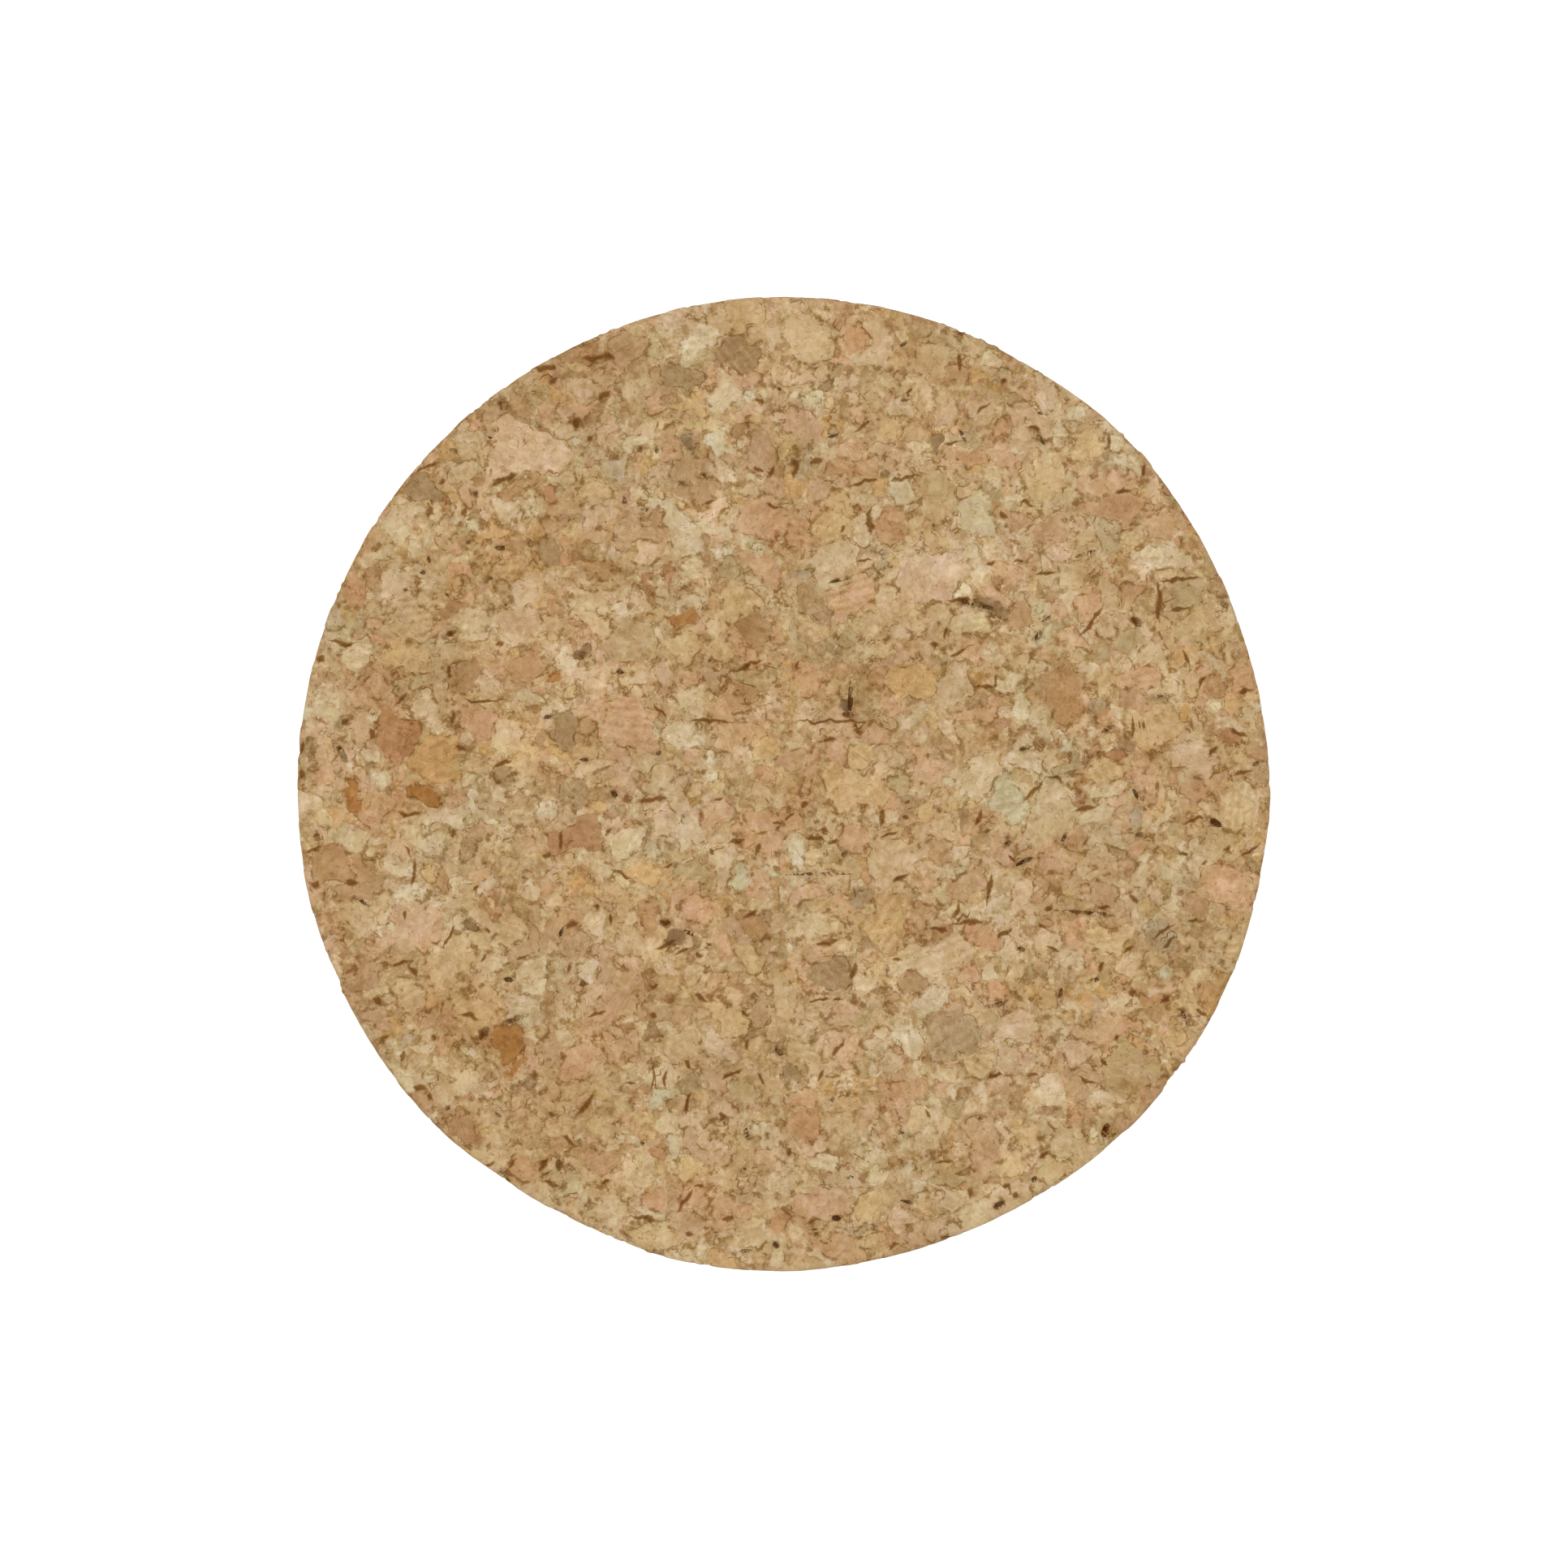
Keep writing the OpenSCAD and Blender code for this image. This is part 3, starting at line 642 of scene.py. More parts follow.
    "mint": [
        (-2.1, -4.6, 1.4, 1.0, 60), (-0.6, -4.3, 0.6, 0.4, 90), (8.6, -4.1, 1.4, 0.6, 0),
        (18.7, -9.3, 1.0, 0.8, 60), (13.5, -12.4, 0.7, 0.5, 90),
    ],
    "dusky": [
        (13.0, 12.4, 2.6, 1.1, 0), (-1.2, -4.7, 0.9, 0.8, 90), (13.5, -4.1, 2.5, 0.9, 175),
        (-7.2, -13.5, 1.3, 0.6, 0), (4.3, -16.3, 1.2, 0.9, 0),
    ],
}
print(sum(map(len, PLACED.values())), "placed granules")

# %% Placed granules as prisms
PLACED_DEPTH = 2.0
CORNERS = 7
CORNER_SHAKE = 0.42
CORNER_REACH = (0.76, 1.06)
WALL_LEAN = 0.15
LIDS = [[0, 0, 1.0], [0, 0, -1.0]]


def placed_lumps(rng):
    """Prisms that stand in the wide end: seven side planes round an oval, shaken at random,
    and two that close them above the skin and below it."""
    rows = [(*row, TONE_NAMES.index(tone)) for tone, group in PLACED.items() for row in group]
    x, y, length, width, turn, tone = np.array(rows, float).T
    count = len(rows)
    shake = rng.uniform(-CORNER_SHAKE, CORNER_SHAKE, size=(count, CORNERS))
    angle = 2 * np.pi * (np.arange(CORNERS) + shake) / CORNERS
    reach = np.hypot(length[:, None] / 2 * np.cos(angle), width[:, None] / 2 * np.sin(angle))
    reach = reach * rng.uniform(*CORNER_REACH, size=(count, CORNERS))
    angle = angle + np.radians(turn)[:, None]
    lean = WALL_LEAN * rng.normal(size=angle.shape)
    side = np.stack([np.cos(angle), np.sin(angle), lean], axis=2)
    side /= np.linalg.norm(side, axis=2, keepdims=True)
    ends = np.broadcast_to(LIDS, (count, 2, 3))
    normal = np.concatenate([side, ends], axis=1)
    offset = np.concatenate([reach, np.full((count, 2), PLACED_DEPTH)], axis=1)
    centre = np.stack([x, y, np.full(count, HEIGHT)], axis=1)
    return centre, normal, offset, tone.astype(int)


# %% [markdown]
# ## Pores
#
# Where granules didn't close up, sanding opens a small dark hole. These are the
# same pores as on the solid: some listed one by one for the wide end, the rest
# scattered by the same dice. Each is an angular leaf with walls that slope in to
# a smaller floor.

# %% Pores of the solid
PORE_DEPTH = 1.2
PORE_L = 2.2
PORE_W = 0.8
GOLDEN_TURN = 137.508
# x, y, turn, length, width, depth as a share of the largest
FACE_PORES = [
    (-16.3, 7.4, 20, 0.80, 0.50, 0.85), (15.8, -17.0, 72, 1.00, 0.42, 1.00),
    (11.8, -3.8, 26, 1.15, 0.26, 0.85), (11.0, -2.9, 40, 0.50, 0.40, 0.60),
    (3.3, 4.3, 88, 2.00, 0.32, 0.60), (-0.2, -13.1, -45, 0.65, 0.30, 0.65),
    (21.2, -1.9, -30, 0.85, 0.40, 0.65), (23.2, 1.0, 20, 0.50, 0.30, 0.65),
    (21.6, 8.8, -15, 0.50, 0.30, 0.45), (12.6, 17.0, -60, 1.20, 0.24, 0.65),
    (12.7, 18.2, 5, 0.85, 0.26, 0.45), (2.6, -21.3, -5, 0.62, 0.34, 0.65),
    (12.3, -19.4, 60, 0.45, 0.36, 0.55), (13.6, -10.3, 82, 0.85, 0.26, 0.50),
    (-5.8, -6.8, -15, 0.75, 0.50, 0.65), (-8.3, -0.5, -40, 0.55, 0.32, 0.50),
    (-14.7, -12.2, 50, 0.95, 0.45, 0.55), (-13.3, -11.6, 20, 1.30, 0.30, 0.50),
    (14.8, -6.3, -5, 3.60, 0.20, 0.40), (1.9, -4.4, 1, 4.20, 0.18, 0.35),
    (7.3, 12.7, 12, 1.05, 0.20, 0.40), (9.5, 8.8, -13, 2.80, 0.26, 0.50),
    (14.8, 11.3, 18, 1.40, 0.24, 0.40), (2.7, 10.0, 13, 1.50, 0.18, 0.40),
    (-9.9, 6.3, -15, 1.05, 0.60, 0.40), (-13.9, 11.6, 5, 0.90, 0.30, 0.40),
    (-21.7, 1.6, -60, 1.60, 0.38, 0.50), (17.3, 8.0, -45, 0.90, 0.42, 0.50),
    (3.2, -15.2, 35, 0.45, 0.30, 0.45), (2.4, -15.5, 65, 0.48, 0.24, 0.40),
    (9.7, -16.4, -5, 0.38, 0.24, 0.40), (3.3, -19.3, 5, 0.42, 0.28, 0.40),
    (-5.0, 14.7, -5, 0.55, 0.24, 0.40), (-6.2, 16.4, 70, 0.45, 0.24, 0.40),
    (-3.9, 15.2, -20, 0.45, 0.28, 0.40), (-7.8, 13.9, 85, 0.70, 0.24, 0.40),
    (-6.7, 13.5, 80, 0.40, 0.22, 0.40), (2.5, 17.1, 20, 0.70, 0.22, 0.40),
    (8.8, 17.1, -60, 0.85, 0.24, 0.40), (6.9, 18.0, 0, 0.45, 0.28, 0.40),
    (8.9, 21.4, 10, 0.35, 0.26, 0.40), (5.9, 21.6, 30, 0.65, 0.20, 0.40),
    (-0.2, 19.4, -10, 0.32, 0.24, 0.40), (18.4, 4.3, 0, 0.65, 0.20, 0.40),
    (12.9, 8.1, 32, 0.60, 0.20, 0.40), (12.5, 7.3, 45, 0.60, 0.26, 0.40),
    (15.9, 2.7, 25, 0.95, 0.22, 0.40), (17.3, -0.5, -65, 0.68, 0.26, 0.40),
    (13.8, -2.6, 50, 0.60, 0.30, 0.40), (17.5, -2.5, -10, 0.65, 0.26, 0.40),
    (19.0, -8.7, 0, 0.32, 0.24, 0.40), (15.3, -9.6, 5, 0.65, 0.20, 0.40),
    (19.6, -11.3, -60, 0.65, 0.40, 0.40), (11.7, -8.1, -15, 0.60, 0.22, 0.40),
    (10.5, -10.8, 20, 1.40, 0.28, 0.40), (9.3, -10.0, 10, 0.32, 0.24, 0.40),
    (3.2, -7.0, 60, 0.32, 0.22, 0.40), (3.0, -3.4, 40, 0.50, 0.34, 0.40),
    (-3.6, -9.1, -45, 0.85, 0.22, 0.40), (-1.4, -10.4, -65, 0.45, 0.20, 0.40),
    (-4.6, -7.3, -25, 0.90, 0.22, 0.40), (-10.9, -7.3, 75, 0.75, 0.22, 0.40),
    (-13.5, -9.6, -10, 0.60, 0.30, 0.40), (-20.6, -5.8, -32, 0.95, 0.20, 0.40),
    (-17.4, 11.0, -80, 0.50, 0.24, 0.40), (-17.7, 10.4, 0, 0.50, 0.24, 0.40),
    (-16.5, 9.4, -70, 0.50, 0.22, 0.40), (-19.9, 10.6, 30, 0.30, 0.22, 0.40),
    (-11.0, -18.7, 80, 0.75, 0.35, 0.40), (-11.4, -16.2, 0, 0.40, 0.32, 0.40),
    (-6.9, -17.6, 60, 0.40, 0.30, 0.40), (-1.8, -17.1, -80, 0.90, 0.24, 0.40),
    (-1.9, -18.9, 0, 0.30, 0.24, 0.40), (-1.8, -22.9, 5, 0.85, 0.26, 0.40),
    (-0.4, -22.6, -50, 0.60, 0.26, 0.40), (6.1, -20.5, -12, 0.90, 0.20, 0.40),
    (5.8, -17.1, 15, 0.50, 0.20, 0.40), (10.6, -20.6, 30, 0.75, 0.32, 0.40),
    (-16.5, -15.9, 10, 0.50, 0.28, 0.40), (-14.0, -16.2, -40, 0.60, 0.22, 0.40),
    (-16.2, 16.4, -15, 0.60, 0.24, 0.40), (-15.1, 14.2, 80, 0.70, 0.22, 0.40),
    (-11.9, 1.0, 40, 0.52, 0.30, 0.40), (-9.8, 1.2, 0, 0.60, 0.24, 0.40),
    (-6.1, 1.5, 10, 0.45, 0.28, 0.40), (-11.6, 3.3, 20, 0.40, 0.28, 0.40),
    (-8.0, 5.5, -10, 0.60, 0.24, 0.40), (-3.6, 6.1, 0, 0.32, 0.24, 0.40),
    (11.0, 0.6, -40, 0.60, 0.32, 0.40), (11.8, 1.7, -5, 0.75, 0.22, 0.40),
    (3.2, 3.4, -5, 0.90, 0.45, 0.40), (-14.4, 17.0, 0, 0.32, 0.24, 0.40),
    (-13.6, 8.8, 0, 0.32, 0.24, 0.40), (-14.4, 10.1, 5, 0.40, 0.22, 0.40),
]
FOOT_PORES = 34
SIDE_PORES = 110


# %% Places of all pores
def spin(axis, degrees):
    """Rotation matrix about X, Y or Z."""
    c, s = math.cos(math.radians(degrees)), math.sin(math.radians(degrees))
    a, b = [(1, 2), (2, 0), (0, 1)][axis]
    m = np.eye(3)
    m[a, a] = m[b, b] = c
    m[a, b], m[b, a] = -s, s
    return m


def scattered(i):
    """Length, width, depth and seed of a scattered pore. Most are short, and long ones are
    narrow, as in the solid."""
    long = dice(i, 5) ** 2
    length = PORE_L * (0.3 + 0.7 * long)
    width = PORE_W * pick(i, 6, 0.35, 0.6) * (1.4 - long)
    return length, width, PORE_DEPTH * pick(i, 7, 0.35, 0.9), 100 + i


def end_share(i, count, k):
    """How far out an end's scattered pore lies, as a share of the radius."""
    return 0.95 * math.sqrt((i + pick(i, k, 0.2, 0.8)) / count)


def all_pores():
    """Every pore: its centre, a matrix whose third column points out, and its length,
    width, depth and seed."""
    rows = []
    for i, (x, y, turn, length, width, depth) in enumerate(FACE_PORES):
        rows.append(([x, y, HEIGHT], spin(2, turn), (length, width, depth * PORE_DEPTH, i)))
    for i in range(FOOT_PORES):
        about = spin(2, i * GOLDEN_TURN + pick(i, 12, -20, 20))
        centre = about @ [end_share(i, FOOT_PORES, 11) * FOOT_R, 0, 0]
        rows.append((centre, about @ spin(0, 180) @ spin(2, 180 * dice(i, 13)), scattered(500 + i)))
    for i in range(SIDE_PORES):
        z = HEIGHT * (0.03 + 0.94 * (i + pick(i, 14, 0.2, 0.8)) / SIDE_PORES)
        about = spin(2, i * GOLDEN_TURN + pick(i, 15, -12, 12))
        tilt = about @ spin(1, 90 + math.degrees(TAPER)) @ spin(2, 180 * dice(i, 16))
        rows.append((about @ [body_radius(z), 0, z], tilt, scattered(700 + i)))
    return rows


# %% Pores as lumps
def pore_lumps():
    """Pores as lumps: one plane through each edge of the leaf, and two that close it."""
    rows = []
    for centre, turn, (length, across, depth, seed) in all_pores():
        k = np.arange(CORNERS)
        shake = np.array([pick(seed, n, -0.22, 0.22) for n in k])
        angle = np.radians(360 * (k + shake) / CORNERS)
        out = np.array([pick(seed, n + 20, 0.8, 1) for n in k])
        oval = [length / 2 * np.cos(angle), across / 2 * np.sin(angle)]
        leaf = out[:, None] * np.stack(oval, axis=1)
        edge = np.roll(leaf, -1, axis=0) - leaf
        side = np.stack([edge[:, 1], -edge[:, 0], 0 * k], axis=1)
        side /= np.linalg.norm(side, axis=1, keepdims=True)
        planes = np.vstack([side, LIDS])
        reach = np.concatenate([np.sum(side[:, :2] * leaf, axis=1), [1.0, 1.0]])
        rows.append((centre, planes @ turn.T, reach, depth, across))
    return [np.array(column) for column in zip(*rows)]


pore_centre, pore_normal, pore_offset, pore_deep, pore_wide = pore_lumps()
print(len(pore_deep), "pores")

# %% [markdown]
# ## Cracks
#
# Finer than the pores are the cracks where two granules only just touch. The mesh
# sinks them a little, and their dark is painted shade in warm brown, because such a
# gap is thinner than the mesh. Each is a short stroke, given by its middle, length,
# turn and width. A point stores how far across its nearest crack it lies, with a
# sign, so that the value still runs straight through zero inside a triangle and the
# finish can draw a line thinner than the mesh.

# %% Cracks of the wide end
# x, y, length, turn, width
CRACKS = [
    (-9.0, 20.9, 1.6, 0, 0.25), (-10.2, 17.8, 0.7, 80, 0.4), (-8.7, 19.1, 0.6, 50, 0.25),
    (-3.6, 13.9, 0.7, 12, 0.15), (-1.9, 17.6, 0.4, -20, 0.25), (-1.2, 18.8, 0.6, 0, 0.2),
    (-0.6, 15.3, 0.9, 55, 0.2), (-1.3, 15.4, 0.8, -5, 0.15), (-0.6, 13.6, 1.0, -5, 0.12),
    (-9.6, 16.9, 0.4, 60, 0.2), (-7.1, 16.4, 0.5, 60, 0.22), (-11.3, 19.8, 0.6, 70, 0.25),
    (-11.7, 20.4, 0.7, -10, 0.25), (3.8, 17.5, 1.1, 28, 0.15), (8.4, 16.8, 1.0, 5, 0.12),
    (8.6, 20.7, 0.8, 90, 0.2), (8.7, 22.0, 0.6, -65, 0.2), (9.8, 18.5, 0.9, 35, 0.15),
    (10.8, 19.8, 0.4, 60, 0.2), (6.0, 18.9, 0.4, 0, 0.2), (6.2, 19.4, 0.3, 40, 0.15),
    (3.9, 14.8, 1.4, 12, 0.14), (0.5, 15.5, 1.1, 100, 0.25), (1.6, 15.9, 0.6, 5, 0.25),
    (4.3, 12.9, 1.6, 88, 0.18), (2.8, 12.5, 0.55, 58, 0.18), (10.9, 13.2, 0.6, -55, 0.18),
    (12.0, 13.8, 0.9, -8, 0.16), (5.9, 15.0, 1.6, 8, 0.15), (14.0, 18.7, 0.3, 90, 0.2),
    (16.0, 16.8, 0.9, 80, 0.14), (12.3, 17.4, 0.7, -10, 0.15), (17.6, 15.4, 0.7, 75, 0.14),
    (16.7, 14.3, 0.9, 15, 0.12), (16.7, 12.4, 0.3, 30, 0.15), (-17.5, 15.6, 1.2, 15, 0.14),
    (-16.7, 14.8, 0.4, 30, 0.25), (-17.3, 13.4, 0.5, 60, 0.3), (-15.6, 13.3, 0.5, 20, 0.22),
    (-13.6, 15.0, 1.6, 20, 0.25), (-13.9, 18.6, 0.6, 85, 0.18), (-18.7, 4.2, 1.0, 44, 0.16),
    (-16.3, 3.2, 0.7, 90, 0.2), (-16.4, 5.5, 0.5, 70, 0.25), (-14.9, 4.1, 2.3, 0, 0.1),
    (-20.1, 2.5, 0.6, -50, 0.22), (-14.0, 6.8, 0.4, 0, 0.25), (-15.4, 11.9, 0.4, 30, 0.2),
    (-22.7, 6.1, 0.5, 70, 0.25), (-21.6, 7.0, 1.6, 0, 0.15), (-21.4, 3.1, 0.5, 20, 0.2),
    (-23.7, 1.7, 0.6, 80, 0.25), (-23.6, 0.5, 0.5, 40, 0.3), (-13.7, 1.0, 1.2, 25, 0.15),
    (-15.9, 1.8, 0.6, -60, 0.25), (-6.1, 3.6, 1.1, -54, 0.13), (-3.6, 3.1, 2.6, 0, 0.12),
    (-1.7, 5.8, 1.7, 30, 0.18), (3.9, 10.9, 0.9, 10, 0.12), (8.6, 9.0, 1.3, -5, 0.15),
    (7.9, 7.4, 0.6, 85, 0.18), (7.4, 6.8, 0.6, 0, 0.16), (9.9, 4.8, 1.0, 0, 0.14),
    (10.4, 5.0, 0.5, 90, 0.12), (8.6, 6.5, 1.2, 22, 0.12), (10.2, 10.8, 0.5, 10, 0.15),
    (11.5, 10.9, 0.5, 0, 0.15), (2.3, 2.1, 1.1, 5, 0.14), (2.5, 3.1, 4.6, 0, 0.1),
    (3.7, 2.6, 0.4, 0, 0.25), (0.7, 5.8, 0.5, 60, 0.3), (17.0, 2.8, 1.3, 88, 0.12),
    (18.5, 8.9, 2.1, 83, 0.24), (19.5, 10.1, 2.0, 2, 0.14), (15.1, 8.0, 2.4, 51, 0.13),
    (19.8, 6.2, 1.0, -60, 0.13), (22.7, 4.6, 0.9, 5, 0.2), (12.9, 10.4, 0.9, 0, 0.14),
    (22.3, 2.5, 1.0, -20, 0.16), (20.6, 5.0, 0.8, 60, 0.15), (21.0, 1.6, 0.8, 40, 0.15),
    (17.6, 2.8, 0.4, 80, 0.2), (19.5, 8.6, 1.4, 15, 0.12), (22.5, 0.5, 1.1, 15, 0.14),
    (12.4, -0.2, 1.4, 43, 0.15), (-10.9, -2.7, 1.2, 88, 0.14), (-11.5, -3.5, 0.4, 0, 0.25),
    (-8.6, -2.4, 0.5, 45, 0.15), (-6.4, -0.8, 1.8, 5, 0.25), (-7.9, -4.4, 1.2, -20, 0.13),
    (-5.7, -4.0, 0.5, 20, 0.14), (-9.1, -6.0, 0.4, 0, 0.18), (-8.5, -6.6, 0.7, 85, 0.12),
    (-10.4, -6.9, 0.7, 8, 0.24), (-5.6, -7.8, 1.2, 25, 0.15), (-1.7, -6.4, 0.9, 35, 0.16),
    (-9.8, -9.8, 0.8, 8, 0.12), (-10.5, -9.0, 0.6, 70, 0.14), (-6.4, -10.0, 0.5, 20, 0.14),
    (-9.2, -11.3, 0.9, 14, 0.15), (-4.0, -10.5, 0.9, -25, 0.15), (-5.0, -8.2, 0.7, 20, 0.15),
    (-4.1, -8.3, 0.5, -45, 0.16), (-2.3, -2.8, 1.1, 15, 0.15), (-3.6, -3.3, 0.5, -45, 0.13),
    (-1.2, -3.2, 0.6, 75, 0.2), (-0.4, -1.9, 0.8, 12, 0.12), (-3.1, -0.7, 0.5, 20, 0.15),
    (-1.8, -11.2, 0.5, -15, 0.15), (-6.4, -11.3, 0.4, -20, 0.2), (-16.4, -7.6, 1.4, 65, 0.13),
    (-17.2, -7.9, 0.5, -20, 0.16), (-18.7, -8.8, 0.9, 15, 0.18), (-18.1, -9.3, 0.9, -60, 0.14),
    (-19.9, -10.6, 0.6, -42, 0.2), (-15.4, -11.4, 1.4, -12, 0.18), (-18.1, -4.3, 1.6, 80, 0.14),
    (-18.4, -3.4, 0.6, -50, 0.14), (-21.2, -4.8, 0.8, 0, 0.22), (-22.9, -4.9, 0.5, 60, 0.3),
    (-23.1, -3.2, 0.7, 22, 0.16), (-15.1, -5.1, 0.5, 30, 0.14), (-14.6, -7.2, 0.4, -5, 0.22),
    (-18.7, -6.5, 0.5, 70, 0.14), (-14.7, -8.4, 0.6, 50, 0.15), (-12.8, -8.5, 0.8, 15, 0.12),
    (-16.2, -2.4, 0.7, 80, 0.18), (-18.3, -1.4, 1.2, -6, 0.15), (0.3, -1.6, 0.8, 30, 0.14),
    (1.1, -1.0, 0.5, 40, 0.22), (1.6, -2.7, 1.3, -6, 0.16), (1.9, -2.3, 0.5, 0, 0.2),
    (2.4, -2.8, 0.45, 50, 0.22), (4.8, -1.6, 0.9, 85, 0.25), (5.2, -2.5, 1.0, 25, 0.12),
    (6.1, -0.9, 0.35, 30, 0.2), (5.7, -4.7, 0.9, 32, 0.14), (9.1, -6.8, 1.7, 5, 0.16),
    (10.1, -5.2, 1.9, 80, 0.13), (8.5, -6.2, 1.0, 70, 0.16), (10.8, -7.4, 0.9, 40, 0.2),
    (7.6, -7.1, 1.0, -10, 0.14), (2.1, -7.8, 1.6, 15, 0.14), (5.6, -8.6, 0.5, 0, 0.14),
    (9.6, -1.6, 1.1, 65, 0.16), (10.0, -2.3, 0.4, 20, 0.2), (1.8, -10.6, 0.7, 5, 0.12),
    (2.6, -10.6, 0.5, 0, 0.12), (3.5, -9.1, 0.9, 80, 0.2), (14.8, -1.2, 1.2, 20, 0.15),
    (20.1, -1.8, 1.2, 5, 0.14), (19.5, -3.4, 0.7, -50, 0.16), (20.7, -3.8, 0.4, 20, 0.16),
    (21.8, -3.2, 0.3, 60, 0.16), (22.9, -3.2, 1.5, 30, 0.1), (15.8, -6.1, 1.0, 0, 0.14),
    (20.1, -6.7, 0.5, 30, 0.14), (17.2, -5.5, 0.8, -60, 0.15), (15.5, -9.0, 0.8, 58, 0.14),
    (17.2, -10.2, 0.5, 0, 0.3), (18.7, -10.6, 0.6, 30, 0.25), (20.5, -11.2, 0.8, -35, 0.14),
    (12.7, -7.0, 0.6, -45, 0.13), (13.3, -8.1, 0.9, -15, 0.14), (17.0, -8.1, 0.5, 48, 0.16),
    (18.6, -7.2, 1.4, 28, 0.12), (18.9, -7.8, 1.2, 35, 0.12), (-11.8, -18.7, 0.5, 60, 0.3),
    (-11.3, -19.6, 1.1, -15, 0.15), (-10.5, -17.5, 0.8, -30, 0.2), (-9.8, -15.9, 1.6, 50, 0.2),
    (-6.8, -21.3, 1.8, 0, 0.16), (-4.9, -20.5, 1.5, 50, 0.16), (-4.1, -19.8, 0.7, 0, 0.12),
    (-2.7, -21.4, 0.6, 0, 0.18), (-3.7, -21.8, 0.4, 0, 0.22), (-4.6, -22.0, 0.4, -20, 0.2),
    (-3.0, -16.2, 0.5, 0, 0.2), (-1.1, -14.4, 0.8, -60, 0.14), (-2.6, -14.3, 1.1, 30, 0.13),
    (-6.4, -14.4, 1.3, 85, 0.12), (-5.7, -14.4, 1.1, 86, 0.1), (-4.7, -15.6, 1.3, 85, 0.13),
    (-4.8, -13.8, 0.6, -50, 0.15), (-7.6, -14.7, 0.5, -10, 0.15), (-1.9, -12.8, 0.4, 40, 0.3),
    (-8.7, -19.4, 0.4, 20, 0.18), (-17.4, -15.3, 0.5, -15, 0.25), (-17.9, -14.9, 0.8, -5, 0.22),
    (-13.3, -18.6, 0.4, 60, 0.25), (-14.4, -18.7, 0.5, 15, 0.15), (-13.6, -19.4, 0.5, -10, 0.18),
    (-12.2, -14.2, 0.5, 20, 0.3), (-17.1, -12.4, 0.3, 0, 0.2), (-18.7, -13.3, 0.5, 70, 0.2),
    (-19.6, -12.5, 0.7, 40, 0.2), (2.7, -13.0, 1.1, 60, 0.16), (7.9, -18.5, 0.9, 10, 0.12),
    (7.1, -16.2, 0.5, -40, 0.14), (10.4, -14.4, 1.0, 22, 0.12), (9.3, -20.0, 0.5, -20, 0.3),
    (10.9, -19.7, 0.4, 0, 0.15), (8.1, -22.2, 0.7, -12, 0.24), (12.2, -14.3, 0.6, -5, 0.2),
    (14.8, -14.5, 1.2, -8, 0.12), (15.8, -13.6, 0.5, -55, 0.2), (18.3, -13.0, 0.5, 70, 0.22),
    (12.8, -18.1, 0.5, 40, 0.2), (0.3, -18.0, 0.5, 60, 0.25), (1.7, -22.0, 0.5, 40, 0.2),
    (1.3, -21.5, 0.5, 30, 0.2), (5.5, -22.6, 0.7, 25, 0.14), (1.8, -14.3, 0.7, 50, 0.15),
    (13.4, 0.2, 0.8, -33, 0.14), (-3.5, -7.8, 0.4, -45, 0.15), (-22.9, -2.5, 0.4, 25, 0.14),
    (6.0, -1.6, 0.5, 5, 0.14), (13.1, -6.1, 0.4, 10, 0.25), (-2.8, -16.6, 0.4, 75, 0.16),
    (16.4, -12.4, 0.35, 40, 0.16), (11.4, -20.1, 0.35, 70, 0.25), (11.2, -3.7, 0.55, -48, 0.16),
]
print(len(CRACKS), "cracks")

# %% Distance across the nearest crack
CRACK_REACH = 0.5
CRACK_FADE = 0.35
CRACK_TIP = 0.2
# reach in mm, wavelength in mm and seed of each drift that bends the cracks
CRACK_BENDS = [(0.12, 1.1, 31), (0.05, 0.45, 32)]


def crack_fields(points):
    """For each point, how far across its nearest crack it lies, in half widths, and the
    crack's strength there: 1 in the middle, and over the last third of the length falling
    to 0 just past its end."""
    rows = np.flatnonzero(points[:, 2] > HEIGHT - 1)
    stray = sum(reach * drift(points[rows], *wave) for reach, *wave in CRACK_BENDS)
    x, y = (points[rows] + stray)[:, :2].T
    nearest = np.full(len(rows), CRACK_REACH)
    near_across = np.full(len(rows), FAR)
    near_strength = np.zeros(len(rows))
    for middle_x, middle_y, length, turn, width in CRACKS:
        c, s = math.cos(math.radians(turn)), math.sin(math.radians(turn))
        along = np.abs((x - middle_x) * c + (y - middle_y) * s)
        over = (y - middle_y) * c - (x - middle_x) * s
        outside = np.maximum(along - length / 2, np.abs(over) - width / 2)
        closer = outside < nearest
        nearest = np.where(closer, outside, nearest)
        near_across = np.where(closer, 2 * over / width, near_across)
        fade = np.clip((length / 2 - along) / (CRACK_FADE * length) + CRACK_TIP, 0, 1)
        near_strength = np.where(closer, fade, near_strength)
    across = np.full(len(points), FAR)
    strength = np.zeros(len(points))
    across[rows], strength[rows] = near_across, near_strength
    return across, strength


# %% [markdown]
# ## The mix
#
# Everything that the saw may cut goes into one table: the pores, the placed
# granules, and three grades of granules on grids. What none of them fills is the
# loose crumb between them, which the finish paints.

# %% Grades of granules on shaken grids
GRADES = [
    # pitch, share of the grid filled, smallest and largest half size
    (4.4, 0.30, 1.3, 1.9),
    (2.6, 0.62, 1.0, 1.5),
    (1.55, 0.75, 0.62, 0.95),
]
# Tier 0 is the pores and tier 1 the placed granules
FIRST_GRADE = 2
JITTER = 0.38
MARGIN = 3.0
BEYOND = 2.5


